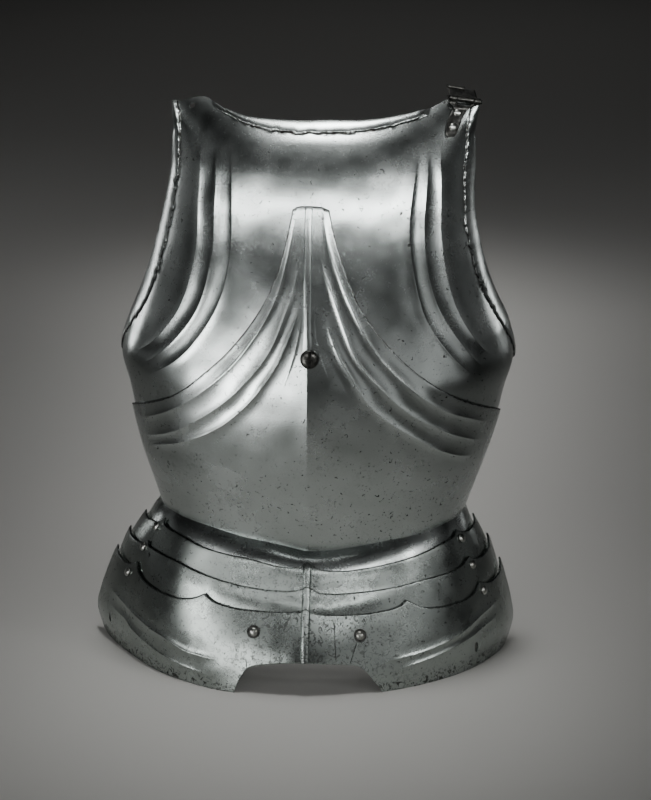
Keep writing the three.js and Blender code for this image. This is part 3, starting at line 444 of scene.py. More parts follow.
# Breastplate: the upper plate, with turned edges at the neck and the armholes.
chest = dict(
    hemHeight=2.0,
    raggedness=0.045,     # unevenness of the raw inner edge, share of the hem's width
    fluteHeight=1.15,
    fluteWidth=8.5,       # half width of a flute's open side
    flutes=dict(crest1=(440, 472, 61), crest2=(440, 472, 56), crest3=(440, 472, 53)),
    # heights between which each flute dies out below the neck, and the turn where it ends
    hole=dict(turn=-43.6, z=499, radius=2.8),    # at the left shoulder
    rows=176,
)
neckline = curveThrough([
    [-53, 500.6], [-48, 501.7], [-43, 504], [-39, 505.7], [-37, 506], [-35, 505.6], [-33.8, 503], [-32, 500],
    [-29, 497.2], [-25.5, 494.3], [-22, 492.9], [-18, 492.1], [-11, 491.5], [-4, 491.3], [3, 491.8],
    [15, 492], [21, 493], [27, 495.2], [33, 498.4], [36, 500.5], [38.2, 503.7], [40, 505.8], [45, 504.8],
    [50, 503.6], [55.6, 502.3],
])
neckHem = toColumns("turn width share", [
    [-60, 5, 0], [-34, 4, 0], [-31, 4, 0.6], [-26, 5, 1], [-19, 7, 1], [0, 9, 1], [28, 7, 1], [33, 6, 1],
    [36, 5, 0], [60, 5, 0],
])
chestGuides = {
    "centre": [[0, 491.5], [0, 380], [0, 270]],
    "left": {
        "armhole": [[-53, 500.6], [-62, 484.5], [-69, 466], [-72.4, 448], [-72, 410], [-73, 375], [-78, 338],
                    [-85, 300], [-90, 272]],
        "hem": [[-49.5, 501.4], [-52, 496.3], [-57, 483], [-60.4, 469], [-61, 452], [-60, 400], [-62.5, 350],
                [-67, 316], [-76, 293], [-90, 262]],
        "crest1": [[-38.5, 505.8], [-41, 497], [-45.9, 473], [-45, 430], [-42.5, 400], [-41.7, 375],
                   [-43, 343], [-47, 316], [-54, 294], [-70, 275], [-90, 254]],
        "crest2": [[-34, 503.4], [-34.8, 499], [-38.1, 474], [-36.5, 425], [-34.5, 390], [-35.5, 350],
                   [-39, 320], [-46, 294], [-55, 277], [-90, 241]],
        "crest3": [[-29, 497.2], [-30, 492], [-31.8, 476], [-29, 425], [-27.2, 390], [-28, 358], [-32, 322],
                   [-39, 290], [-48, 273], [-62, 258], [-90, 228]],
        "flank": [[-22.5, 493], [-20, 430], [-18, 380], [-19, 330], [-26, 285], [-45, 240], [-90, 192]],
    },
    "right": {
        "armhole": [[55.6, 502.3], [62.6, 488], [70.3, 470], [72.7, 452], [72, 430], [72, 390], [76, 355],
                    [82, 325], [88, 298], [90, 275]],
        "hem": [[51, 503.4], [53.3, 497.3], [59, 484], [62.4, 472], [61.8, 456], [61.5, 415], [61.8, 380],
                [65, 350], [71, 314], [79, 292], [90, 266]],
        "crest1": [[43.5, 505.1], [46.5, 490], [47.3, 468], [48, 430], [47, 386], [48, 350], [51, 317],
                   [56, 295], [62, 286], [76, 270], [90, 256]],
        "crest2": [[39.2, 504.9], [41.3, 490], [42.1, 469], [41, 430], [39.6, 390], [40.8, 350], [44, 320],
                   [50, 292], [57, 276], [72, 259], [90, 243]],
        "crest3": [[35.3, 500.1], [37.3, 488], [37.9, 469], [36, 443], [34, 405], [34.2, 381], [35.5, 343],
                   [38, 316], [45, 286], [54, 267], [68, 252], [90, 228]],
        "flank": [[25, 494.4], [24, 430], [22, 380], [23, 330], [30, 285], [48, 242], [90, 192]],
    },
}
chestSpans = [
    ("armhole", "hem", crowded(14)), ("hem", "crest1", crowded(20)), ("crest1", "crest2", crowded(14, 0.6)),
    ("crest2", "crest3", crowded(14, 0.6)), ("crest3", "flank", crowded(18)),
    ("flank", "centre", np.arange(24) / 24),
]


def buildBreastplate():
    columns = netColumns(chestGuides, chestSpans)
    starts = np.array([columnPlaces(c, np.zeros(1))[0] for c in columns])
    lengths = np.array([columnLength(c) for c in columns])
    hemWidth = np.interp(starts[:, 0], neckHem["turn"], neckHem["width"])
    hemOn = np.interp(starts[:, 0], neckHem["turn"], neckHem["share"])
    neckSteps = np.array([0, 0.03, 0.08, 0.15, 0.25, 0.4, 0.55, 0.7, 0.8, 0.86, 0.9, 0.93, 0.96, 1.0])
    rest = np.linspace(0, 1, chest["rows"] + 1)[1:, None] ** 1.1    # rows a little closer near the neck
    hemShare = hemWidth / lengths
    shares = np.vstack([neckSteps[:, None] * hemShare, hemShare + (1 - hemShare) * rest])
    turn, z = netPlaces(columns, shares)
    lift = neckline(starts[:, 0]) - starts[:, 1]
    z = z + lift * np.maximum(0, 1 - shares * 4)    # brings the top rows onto the neckline
    flat = bodyPoint(turn, z)
    relief = fluteRelief(flat, turn, z, columns, chest)

    run = runningLength(flat, 1)
    farOff = plateCommon["noMark"]
    rawEdge = np.full(turn.shape, farOff)
    for seed, side in ((5, "left"), (6, "right")):
        marks = {c["name"]: i for i, c in enumerate(columns) if c["side"] == side}
        rim = run[:, marks["armhole"]][:, None]
        inner = np.abs(run[:, marks["hem"]][:, None] - rim)
        wobble = 1 + ragged(seed, len(run), chest["raggedness"])
        share = np.abs(run - rim) / np.maximum(inner, 1) / wobble[:, None]
        own = (turn < 0) == (side == "left")
        relief = np.maximum(relief, edgeProfile(share) * chest["hemHeight"] * own)
        # The groove at the hem's raw inner step gets a painted shade line along it.
        rawEdge = np.where(own, (share - 0.97) * inner, rawEdge)
    # The neck's edge counts from the first row down.
    wobble = 1 + ragged(7, len(columns), chest["raggedness"])
    neckShare = shares / hemShare / wobble
    relief = np.maximum(relief, edgeProfile(neckShare) * hemOn * chest["hemHeight"])
    # The same painted shade line runs along the neck hem's raw inner step.
    neckShadeLine = (neckShare - 1) * hemWidth + farOff * (1 - hemOn)
    rawEdge = np.where(rawEdge < 0, rawEdge, np.minimum(rawEdge, np.where(hemOn > 0.1, neckShadeLine, farOff)))

    fullLap = plateCommon["thickness"] + plateCommon["lapGap"]
    height = relief - (fullLap - plackartLift(z)) + hammering(flat, 3)    # lies under the plackart
    plate = PlateShape()
    plate.addNet(raised(bodyPoint, turn, z, height),
                 raised(bodyPoint, turn, z, height - plateCommon["thickness"]), marks=dict(rawEdge=rawEdge))
    hole = chest["hole"]
    plate.cutHole(*seatOn(bodyPoint, hole["turn"], hole["z"]), hole["radius"], hole["radius"])
    return plate.build("breastplateSteel")


# Plackart: the lower plate over the belly, with its point up the middle and a flange at the waist.
belly = dict(
    fluteHeight=1.15,
    fluteWidth=8.5,
    flutes=dict(crest1=(395, 440, 66), crest2=(347, 392, 64), crest3=(305, 350, 62)),
    ribHeight=1.6,        # the rounded rib down the upper front
    ribHalfWidth=3.2,
    ribFrom=300,          # height at which the rib begins
    ribTo=345,            # and at which it stands fully out
    lipDrop=0.35,         # worn-down arris at the plate's upper edge
    lipWidth=1.0,
    shadeInset=0.4,        # the painted shade line lies this far in from the edge
    rows=170,
    flangeRows=14,
    flangeDepth=13,       # how far the flange runs down under the first lame's edge
)
bellyGuides = {
    "centre": [[0, 428], [0, 280], [0, 116]],
    "left": {
        "edge": [[-6, 425], [-7.5, 403], [-11, 366], [-17, 331], [-26, 293], [-39, 259], [-58, 239],
                 [-90, 217]],
        "crest1": [[-4.2, 427.3], [-6.3, 395], [-9.3, 357], [-15, 321], [-24, 281], [-36, 253], [-52, 231.5],
                   [-90, 200]],
        "crest2": [[-2.8, 428], [-3.7, 367], [-6.7, 341], [-11, 304], [-19, 270], [-28, 247.5], [-43, 221.5],
                   [-62, 206], [-90, 186]],
        "crest3": [[-1.9, 428], [-2.6, 350], [-5.8, 314], [-10.3, 283], [-17.8, 254], [-28.7, 228],
                   [-43, 210], [-60, 198], [-90, 172]],
        "flank": [[-1.4, 428], [-2, 340], [-5, 290], [-15, 230], [-40, 175], [-90, 131]],
        "hip": [[-1, 428], [-1.4, 320], [-6, 240], [-30, 165], [-60, 134]],
        "belly": [[-0.5, 428], [-0.8, 320], [-4, 240], [-17, 165], [-33, 128.8]],
    },
    "right": {
        "edge": [[7, 425], [8.5, 405], [10.4, 389], [12.8, 368], [15.6, 347], [18.5, 331], [25.3, 301],
                 [34, 275], [46, 255], [60, 241], [77.5, 227], [90, 218]],
        "crest1": [[4.6, 427.3], [5.9, 405], [7.5, 389], [9.7, 372], [11.7, 355], [13.9, 340], [17.7, 312],
                   [22, 291], [29, 269], [41, 246], [51, 236], [59, 228], [90, 203]],
        "crest2": [[2.8, 428], [3.9, 383], [6, 369], [9.3, 339], [12, 311], [14, 295], [21, 269], [30, 246],
                   [42, 227], [50, 218], [63.5, 207], [90, 190]],
        "crest3": [[1.9, 428], [3.3, 370], [5.4, 336], [8.4, 303], [11.3, 287], [15.8, 262], [23, 242],
                   [29, 230], [41, 210], [52, 199], [74, 186], [90, 175]],
        "flank": [[1.4, 428], [2, 340], [5, 290], [15, 230], [40, 175], [90, 128.5]],
        "hip": [[1, 428], [1.4, 320], [6, 240], [30, 165], [60, 129]],
        "belly": [[0.5, 428], [0.8, 320], [4, 240], [17, 165], [33, 123.5]],
    },
}
bellySpans = [
    ("edge", "crest1", crowded(10)), ("crest1", "crest2", crowded(12, 0.5)),
    ("crest2", "crest3", crowded(12, 0.5)), ("crest3", "flank", crowded(16, 0.6)),
    ("flank", "hip", np.arange(14) / 14), ("hip", "belly", np.arange(12) / 12),
    ("belly", "centre", 1 - (1 - np.arange(14) / 14) ** 2),
]


def buildPlackart():
    columns = netColumns(bellyGuides, bellySpans)
    shares = np.repeat(np.linspace(0, 1, belly["rows"] + 1)[:, None], len(columns), 1)
    turn, z = netPlaces(columns, shares)
    ends = np.array([columnPlaces(c, np.ones(1))[0] for c in columns])
    group = [name for name, _, places in bellySpans for _ in places]
    fromNames = group + ["centre"] + group[::-1]
    onWaist = np.array([name in ("flank", "hip", "belly", "centre") for name in fromNames])
    settle = np.where(onWaist, waistHeight(ends[:, 0]) - ends[:, 1], 0)
    z = z + settle * smoothStep(0.75, 1, shares)    # brings the last rows onto the waist line
    flat = bodyPoint(turn, z)
    relief = fluteRelief(flat, turn, z, columns, belly)
    bulge = np.sqrt(np.clip(1 - (flat[..., 0] / belly["ribHalfWidth"]) ** 2, 0, 1))
    relief = np.maximum(relief, bulge * belly["ribHeight"] * smoothStep(belly["ribFrom"], belly["ribTo"], z))
    run, square = rowDistances(flat)
    fromEdge = np.minimum(np.minimum(run, run[:, -1:] - run) * square, runningLength(flat))
    lip = -belly["lipDrop"] * (1 - smoothStep(0, belly["lipWidth"], fromEdge))

    hammered = hammering(flat, 11)
    height = plackartLift(z) + relief + lip + hammered
    plate = PlateShape()
    # The dark line along the plackart's edge is painted shade of the gap where it laps over the breastplate.
    ids = plate.addNet(raised(bodyPoint, turn, z, height),
                       raised(bodyPoint, turn, z, height - lip - plateCommon["thickness"]),
                       marks=dict(rawEdge=fromEdge - belly["shadeInset"]))

    waistTurn = ends[onWaist, 0]
    share = np.linspace(0, 1, belly["flangeRows"] + 1)[:, None] ** 1.3
    flangeTurn = waistTurn * (1 - 0.04 * share)     # narrows a little towards its foot
    top, low = waistHeight(flangeTurn), lameEdges[0](flangeTurn) - belly["flangeDepth"]
    flangeZ = top + (low - top) * share
    height = lameHeight(0, flangeTurn, flangeZ) + hammered[-1, onWaist] * (1 - share)
    plate.addNet(raised(fauldPoint, flangeTurn, flangeZ, height),
                 raised(fauldPoint, flangeTurn, flangeZ, height - plateCommon["thickness"]),
                 firstRow=ids[-1, onWaist])
    return plate.build("plackartSteel")


# Fauld: three lames below the waist, each outside the one above it, with cusped upper edges.
fauld = dict(
    step=2.4,             # from one lame's outer face to the next one's
    lean=(-0.65, -0.5, -0.5, 0),    # how much of a step the flange and each lame fall back lower down
    rearStep=1.0,         # the same step where they close in at the rear ends
    hiddenLap=14,         # how far a lame runs down under the next
    rivetLap=5,           # and how much further round its rivets
    ribHeight=2.4,        # keel down the middle of each lame
    ribHalfWidth=3.6,
    fluteHeight=0.8,
    fluteWidth=6.0,
    lipDrop=0.4,
    lipWidth=0.9,
    columnStep=0.55,      # degrees
    sideTurn=88,          # the lames end at this turn on both sides
    wear=(0.25, 0.2, 0.75),    # heavier pitting along the middle of each lame
    wearReach=75,         # its half width
    # short cracks up from the lower edge: x at foot and top, low and high z
    cracks=[(-50, -51.5, 12, 29), (27, 24.5, 34, 62), (40, 44, 30, 44)],
    sideHoles=[dict(turn=-70, z=22, length=7, width=4.5), dict(turn=56, z=19.5, length=10, width=5)],
)
lameEdgeLines = [
    [[-88, 116], [-74, 117.5], [-68, 119.7], [-62, 122], [-59.3, 127.4], [-57.5, 123], [-55, 121.7],
     [-46, 119.3], [-37, 115.4], [-28.5, 112.7], [-19, 110.4], [-10, 106.5], [-5.5, 105.6], [-2.6, 106.5],
     [0, 109.4], [3.8, 104.8], [8, 103.1], [13, 102.7], [18, 103.5], [29, 106.6], [41, 110.8], [53, 115.9],
     [58.5, 118.1], [61, 121.9], [64, 118], [71, 116], [80, 116.5], [88, 119.5]],
    [[-88, 99.5], [-76, 98], [-69, 98.5], [-64.5, 100.5], [-61.6, 105.1], [-59.4, 101.1], [-55, 100.6],
     [-44, 99], [-37.5, 96.1], [-26.5, 91.4], [-16, 88.3], [-12, 87.6], [-7, 87.5], [-3.2, 88.3], [0, 91],
     [2, 89.2], [4.2, 86.6], [9, 85.2], [15, 85.4], [28, 87.2], [38.7, 89.7], [52, 91.3], [56, 92.9],
     [59, 95.6], [61.7, 98.1], [64, 94.5], [71, 92.2], [79, 94], [88, 100.5]],
    [[-88, 81], [-78.5, 77.8], [-70, 77.3], [-66.5, 78.6], [-62.6, 84.5], [-59.4, 77], [-56, 73.4],
     [-51.5, 71.4], [-46.5, 70.4], [-41, 70.4], [-37, 72], [-33.7, 74.9], [-31, 79.4], [-29.5, 76.8],
     [-27.3, 74.1], [-24.5, 72.6], [-19.7, 71.1], [-15, 70.8], [-10.5, 70.9], [-6, 71.5], [-2, 72.2],
     [0, 74.6], [1.7, 71.7], [5.2, 70], [12, 68.6], [17, 68.3], [21.7, 69], [26.6, 70.2], [29.2, 71.9],
     [31.7, 75.7], [33.8, 72], [36, 68.5], [39, 66.2], [43, 64.8], [48, 64.1], [54, 64.4], [57.6, 66.1],
     [60.3, 68.4], [63.3, 74.5], [66.3, 71.3], [70.6, 68.7], [80, 69.5], [88, 77.5]],
]
lameEdges = [cuspedBorder(line) for line in lameEdgeLines]
lowerLine = [
    [-88, 19], [-87, 10], [-84, 3.5], [-79, 0], [-18.8, 0], [-18.4, 4.2], [-17.2, 13.8], [-15.3, 22.7],
    [-12.5, 26.2], [-9.6, 27.8], [-5.5, 29.6], [0, 30.4], [7.3, 29], [11.6, 27.5], [14.6, 25.8],
    [16.4, 22.5], [18.1, 17.2], [19.8, 9.7], [21.2, 4.4], [22.1, 0], [79, 0], [84, 3.5], [87, 10], [88, 19],
]
lowerEdge = curveThrough(lowerLine)
lameFlutes = [
    dict(line=[[-88, 52], [-64, 45], [-57, 41.3], [-49, 37], [-42, 33.9], [-32, 27.5], [-22, 27], [-14, 40],
               [0, 47], [14, 40], [20, 33], [24, 27.5], [30, 28.8], [40, 32.4], [46, 35.3], [53, 40.4],
               [61, 46.8], [88, 54]], start=22, end=62),
    dict(line=[[-88, 37], [-60.5, 32.3], [-56, 27], [-49, 22.3], [-42, 18], [-31, 13.5], [-24, 12],
               [-17, 25], [-12, 33], [0, 37], [12, 34], [18, 25], [24, 18], [32, 21.2], [43, 25.9],
               [55, 31.9], [60, 35.1], [88, 42]], start=26, end=59),
]


def lameHeight(level, turn, z):
    # Level 0 is the plackart's flange, 1 to 3 are the lames from the top down.
    own = waistHeight(turn) if level == 0 else lameEdges[level - 1](turn)
    below = own - 40 if level == 3 else lameEdges[level](turn)
    share = np.clip((own - z) / np.maximum(own - below, 4), 0, 1 if level == 3 else 2.2)
    start = 0 if level == 0 else fauld["step"] / 2
    end = fauld["lean"][level] * fauld["step"]
    rear = (level - 1.5) * fauld["rearStep"] * smoothStep(60, 84, np.abs(turn))
    return start + (end - start) * share + rear * (np.minimum(share, 1) if level == 0 else 1)


def seatOnLame(level, turn, z):
    return seatOn(fauldPoint, turn, z, lameHeight(level, np.array(turn, float), np.array(z, float)))


def hiddenEdge(level, turn):
    mean = sum(lameEdges[level](turn + step) for step in (-8, -4, 0, 4, 8)) / 5
    nearRivet = smoothStep(50, 58, np.abs(turn)) * (1 - smoothStep(74, 82, np.abs(turn)))
    return mean - fauld["hiddenLap"] - fauld["rivetLap"] * nearRivet


def lameTurns(level):
    # Columns lie closer at the cusps, the keel and the steep ends of the thigh arch.
    side = fauld["sideTurn"]
    even = np.arange(-side, side + 0.01, fauld["columnStep"])
    marks = np.array(lameEdgeLines[level - 1])[:, 0]
    steep = np.concatenate([np.arange(-19, -14.5, 0.12), np.arange(15.5, 22.4, 0.14)]) if level == 3 else []
    keel = np.arange(-2, 2.01, 0.16)
    turns = np.unique(np.round(np.concatenate([even, marks, steep, keel]), 3))
    keep = np.concatenate([[True], np.diff(turns) > 0.07])
    return turns[keep]


def lameMarks(level, flat):
    x, z = flat[..., 0], flat[..., 2]
    wear = np.exp(-(x / fauld["wearReach"]) ** 2) * fauld["wear"][level - 1]
    if level < 3:
        return dict(wear=wear)
    wear = np.maximum(wear, 0.9 * (1 - smoothStep(4, 16, z)))    # and along the lowest edge
    offsets, reach = [], np.zeros(x.shape)
    for foot, top, low, high in fauld["cracks"]:
        line = foot + (top - foot) * (z - low) / (high - low)
        offsets.append(x - line)
        near = 1 - smoothStep(5, 8, np.abs(x - line))
        reach = np.maximum(reach, near * (1 - smoothStep(high, high + 3, z)) * smoothStep(low - 3, low, z))
    crack = offsets[0]
    for k in range(1, len(offsets)):
        halfway = (fauld["cracks"][k - 1][0] + fauld["cracks"][k][0]) / 2
        # The sign turns over with every crack, so that it changes on the cracks and nowhere else.
        crack = np.where(x > halfway, offsets[k] * (-1) ** k, crack)
    return dict(wear=wear, crack=crack, crackReach=reach)


def archLameRows(turns, top, low, lip):
    # The lowest lame has rows along its two flutes; returns the rows and the flutes' relief.
    one, two = (curveThrough(flute["line"])(turns) for flute in lameFlutes)
    counts = (26, 18, 26)
    parts = [top - lip]
    for a, b, count in zip((top - lip[-1], one, two), (one, two, low + lip[-1]), counts):
        parts.append(a + (b - a) * np.append(crowded(count, 0.6), 1)[1:, None])
    rows = np.vstack(parts + [low + lip[::-1][1:]])
    run = runningLength(fauldPoint(np.broadcast_to(turns, rows.shape), rows))
    first = len(lip) - 1 + counts[0]
    crestRows = first, first + counts[1]
    between = (run[crestRows[1]] - run[crestRows[0]]) / 2
    relief = np.zeros(rows.shape)
    for k, flute in enumerate(lameFlutes):
        gap = run - run[crestRows[k]]
        inward = (gap > 0) if k == 0 else (gap < 0)
        width = np.where(inward, np.minimum(between, fauld["fluteWidth"] + 1), fauld["fluteWidth"])
        fade = smoothStep(flute["start"], flute["start"] + 7, np.abs(turns)) * (
            1 - smoothStep(flute["end"], flute["end"] + 14, np.abs(turns)))
        relief = np.maximum(relief, ridge(gap, np.maximum(width, 0.5)) * fade * fauld["fluteHeight"])
    return rows, relief


def buildLame(level):
    turns = lameTurns(level)
    top = lameEdges[level - 1](turns)
    lip = np.array([0, 0.3, 0.7, 1.2])[:, None]     # rows along an edge, for its worn arris
    if level < 3:
        low = hiddenEdge(level, turns)
        down = (np.arange(1, 19) / 18)[:, None]
        rows = np.vstack([top - lip, top - lip[-1] + (low - top + lip[-1]) * down])
        relief = np.zeros(rows.shape)
    else:
        low = lowerEdge(turns)
        rows, relief = archLameRows(turns, top, low, lip)
    turn = np.broadcast_to(turns, rows.shape).copy()
    flat = fauldPoint(turn, rows)
    keel = np.sqrt(np.clip(1 - (flat[..., 0] / fauld["ribHalfWidth"]) ** 2, 0, 1))
    relief = np.maximum(relief, fauld["ribHeight"] * keel)
    fromTop = top - rows
    edgeDrop = 1 - smoothStep(0, fauld["lipWidth"], fromTop)
    if level == 3:
        edgeDrop = np.maximum(edgeDrop, 0.8 * (1 - smoothStep(0, fauld["lipWidth"], rows - low)))
    hammered = hammering(flat, 20 + level, plateCommon["hammerLength"] * 0.8)
    height = lameHeight(level, turn, rows) + relief + hammered
    faces = [raised(fauldPoint, turn, rows, height - drop)
             for drop in (fauld["lipDrop"] * edgeDrop, plateCommon["thickness"])]
    for face in faces:
        face[..., 2] = np.maximum(face[..., 2], 0)      # nothing below the lower edge's plane
    plate = PlateShape()
    # The thin dark line along the lame's top edge is painted shade of the gap where it laps over the plate
    # above, with some dirt.
    plate.addNet(*faces, marks=dict(lameMarks(level, flat), rawEdge=fromTop + 0.1))
    for hole in fauld["sideHoles"] if level == 3 else []:
        plate.cutHole(*seatOnLame(3, hole["turn"], hole["z"]), hole["length"] / 2, hole["width"] / 2)
    return plate.build(f"lame{level}Steel")


# Rivets, washers and screw. Heights count outwards from the steel they sit on.
rivetSizes = dict(head=4.0, rise=2.4, shank=2.0, slack=0.5, sides=28, domeSteps=9)
rivetPlaces = {
    "lame_1_rivet_left": (1, -61.8, 117.9), "lame_1_rivet_right": (1, 62, 113.4),
    "lame_2_rivet_left": (2, -62.7, 97.9), "lame_2_rivet_right": (2, 62.2, 90.3),
    "lame_3_rivet_left": (3, -65.4, 71.4), "lame_3_rivet_right": (3, 64.2, 65.7),
    "tasset_rivet_left": (3, -14.5, 54), "tasset_rivet_right": (3, 16, 51.3),
}
washerSizes = dict(radius=5.8, bore=2.4, thickness=0.9, bevel=0.25, lift=0.3, sides=36)
screwSizes = dict(turn=0.6, z=300, lift=0.4, head=8.2, rise=4.6, rim=0.9, shank=3.0, shankLength=4.5,
                  slotWidth=2.5, slotDepth=2.6, sides=44)
screwDome = [(0.97, 0.16), (0.91, 0.36), (0.82, 0.58), (0.68, 0.79), (0.5, 0.92), (0.28, 0.985), (0.08, 1.0)]


def latheShape(profile, sides, centre, axis, uneven=0.0, seed=0):
    # Turns a profile of (radius, height) round an axis; a small unevenness keeps it hand-made.
    axis = unit(np.asarray(axis, float))
    side = unit(np.cross(axis, [0.0, 0.0, 1.0] if abs(axis[2]) < 0.9 else [1.0, 0.0, 0.0]))
    other = np.cross(axis, side)
    draw = np.random.default_rng(seed)
    angles = np.arange(sides) * 2 * np.pi / sides
    oval, lobes = np.sin(2 * angles + draw.uniform(0, 6)), np.sin(3 * angles + draw.uniform(0, 6))
    wobble = 1 + uneven * (oval + 0.6 * lobes)
    rings = []
    for radius, height in profile:
        u, v = np.cos(angles) * radius * wobble, np.sin(angles) * radius * wobble
        rings.append(centre + (u[:, None] * side + v[:, None] * other) + axis * height)
    starts = np.arange(len(profile)) * sides
    faces = []
    for a, b in zip(starts, starts[1:]):
        faces += [[a + i, a + (i + 1) % sides, b + (i + 1) % sides, b + i] for i in range(sides)]
    faces += [list(range(sides))[::-1], [starts[-1] + i for i in range(sides)]]
    return np.vstack(rings), faces


def latheMesh(name, *shape):
    return meshObject(name, *latheShape(*shape), 40)


def joinedMesh(name, shapes):
    points, faces, count = [], [], 0
    for own, ownFaces in shapes:
        points.append(own)
        faces += [[i + count for i in face] for face in ownFaces]
        count += len(own)
    return meshObject(name, np.vstack(points), faces, 36)


def rivetProfile(foot, under, lift=0.0):
    # Shank from its foot up to the head's underside, then a quarter ellipse up to a small flat on top.
    r = rivetSizes
    angles = np.linspace(0, np.pi / 2 * 0.97, r["domeSteps"])
    return [(r["shank"], foot), (r["shank"], under), (r["head"], under)] + [
        (r["head"] * np.cos(a), lift + r["rise"] * np.sin(a)) for a in angles]


def buildRivets():
    made = {}
    w = washerSizes
    low, high, bevel = w["lift"], w["lift"] + w["thickness"], w["bevel"]
    ring = [(w["bore"], low), (w["radius"] - bevel, low), (w["radius"], low + bevel),
            (w["radius"], high - bevel), (w["radius"] - bevel, high), (w["bore"], high - 0.1)]
    for seed, (name, (level, turn, z)) in enumerate(rivetPlaces.items()):
        seat = seatOnLame(level, turn, z)
        onWasher = name.startswith("tasset")
        lift = high if onWasher else rivetSizes["slack"]
        made[name] = latheMesh(name + "Head", rivetProfile(-3.6, lift - 0.1, lift), rivetSizes["sides"],
                               *seat, 0.02, seed)
        if onWasher:
            washerName = name.replace("rivet", "washer")
            made[washerName] = latheMesh(washerName + "Disc", ring, w["sides"], *seat, 0.03, 40 + seed)
    return made


def cutAway(obj, cutter):
    # Takes the cutter's shape out of a small piece and throws the cutter away.
    modifier = obj.modifiers.new("cut", "BOOLEAN")
    modifier.operation, modifier.solver, modifier.object = "DIFFERENCE", "EXACT", cutter
    evaluated = obj.evaluated_get(bpy.context.evaluated_depsgraph_get())
    shaped = bpy.data.meshes.new_from_object(evaluated)
    obj.modifiers.clear()
    obj.data = shaped
    obj.data.set_sharp_from_angle(angle=math.radians(38))
    bpy.data.objects.remove(cutter)


def buildScrew():
    s = screwSizes
    seat, outward = seatOn(bodyPoint, s["turn"], s["z"], plackartLift(s["z"]) + s["lift"])
    profile = [(s["shank"], -s["shankLength"]), (s["shank"], 0.0), (s["head"], 0.0), (s["head"], s["rim"])]
    profile += [(s["head"] * r, s["rim"] + (s["rise"] - s["rim"]) * h) for r, h in screwDome]
    head = latheMesh("centralScrewHead", profile, s["sides"], seat, outward, 0.012, 77)
    across = unit(np.cross([0, 0, 1], outward))
    tall = np.cross(outward, across)
    half = np.array([s["slotWidth"] / 2, s["slotDepth"], s["head"] * 1.4])
    corners = np.array([[x, y, w] for x in (-1, 1) for y in (-1, 1) for w in (-1, 1)]) * half
    points = seat + outward * s["rise"] + corners @ np.array([across, outward, -tall])
    faces = [[0, 1, 3, 2], [4, 6, 7, 5], [0, 4, 5, 1], [2, 3, 7, 6], [0, 2, 6, 4], [1, 5, 7, 3]]
    cutAway(head, meshObject("slotCutter", points, faces))
    return head


# Shoulder hinge: a leaf on two rivets and the loose upper leaf, a loop, that turns on the pin.
hinge = dict(
    ends=((41.2, 505), (53.6, 502.3)),    # turn and z of the axis at both ends
    height=5.2,           # of the axis above the steel
    knuckle=2.95,         # radius, as are pin, pinHead and bar
    knuckleBevel=0.4,
    fixedKnuckles=((-14, -7.2), (8.2, 14)),    # along the axis, from its middle
    loopKnuckle=(-6.7, 7.7),
    pin=1.2,
    pinSpan=(-14.9, 14.9),
    pinHead=2.0,
    pinHeads=((14.2, 15.6), (-15.6, -14.2)),
    leaf=1.3,             # thickness
    leafGap=0.7,
    leafTop=47.4,
    leafLow=(50.8, 477),
    leafHalfWidths=(6, 3.4),
    curl=2.86,            # how far the leaf's top curls up to the knuckles
    notch=3.9,            # leaf cut back between its knuckles, where the loop turns
    rivetGap=0.8,
    loopLength=17,
    loopWidth=(-13, 12),
    loopTilt=24,
    bar=1.9,
    barSpan=(-13, 3),     # the bar runs along only part of the loop's edge
    wear=0.35,            # unevenness of the worn edges
)
hingeRivetPlaces = {"hinge_rivet_upper": (48, 495.5), "hinge_rivet_lower": (50, 484.5)}


def hingeFrame():
    low, high = (raised(bodyPoint, turn, z, hinge["height"]) for turn, z in hinge["ends"])
    return (low + high) / 2, unit(high - low)


def barShape(span, radius, bevel, offset=0.0):
    centre, axis = hingeFrame()
    a, b = span
    profile = [(radius - bevel, a), (radius, a + bevel), (radius, b - bevel), (radius - bevel, b)]
    return latheShape(profile, 28, centre + offset, axis)


def wornSlab(origin, right, up, span, reach, seed):
    # Flat plate with rounded, slightly worn edges; its far edge is uneven.
    draw = np.random.default_rng(seed)
    us, vs = np.linspace(*span, 26), np.linspace(*reach, 14)
    wave = np.interp(us, us[::3], draw.normal(0, hinge["wear"], len(us[::3])))
    grid = np.array([[origin + right * u + up * (v + wave[i] * (v - reach[0]) / (reach[1] - reach[0]))
                      for i, u in enumerate(us)] for v in vs])[::-1]
    fromU, fromV = (np.minimum(s - s[0], s[-1] - s) for s in (us, vs))
    rim = np.minimum(fromU[None, :], fromV[:, None])
    half = hinge["leaf"] / 2 * np.sqrt(np.clip(1 - (1 - np.clip(rim / 0.9, 0, 1)) ** 2, 0.15, 1))
    rise = np.cross(right, up) * half[::-1, :, None]
    plate = PlateShape()
    plate.addNet(grid + rise, grid - rise)
    return plate.shape()


def leafShape():
    h = hinge
    down = np.linspace(0, 1, 40)[:, None]
    across = np.linspace(-1, 1, 16)[None, :]
    lowTurn, lowZ = h["leafLow"]
    wide, narrow = h["leafHalfWidths"]
    halfWidth = (wide + (narrow - wide) * smoothStep(0.08, 0.2, down)) * np.sqrt(1.02 - down ** 6 * 0.8)
    leftZ, rightZ = (z for turn, z in h["ends"])
    topZ = leftZ + (rightZ - leftZ) * (across + 1) / 2 - h["notch"] * (np.abs(across - 0.03) < 0.6)
    turn = h["leafTop"] + (lowTurn - h["leafTop"]) * down + across * halfWidth
    z = topZ + (lowZ - topZ) * down
    lift = h["leaf"] + h["leafGap"] + h["curl"] * (1 - smoothStep(0.08, 0.25, down))
    rounding = 0.5 * (1 - np.sqrt(np.clip(1 - (np.maximum(np.abs(across) - 0.8, 0) / 0.2) ** 2, 0, 1)))
    plate = PlateShape()
    plate.addNet(raised(bodyPoint, turn, z, lift - rounding), raised(bodyPoint, turn, z, lift - h["leaf"]))
    return plate.shape()


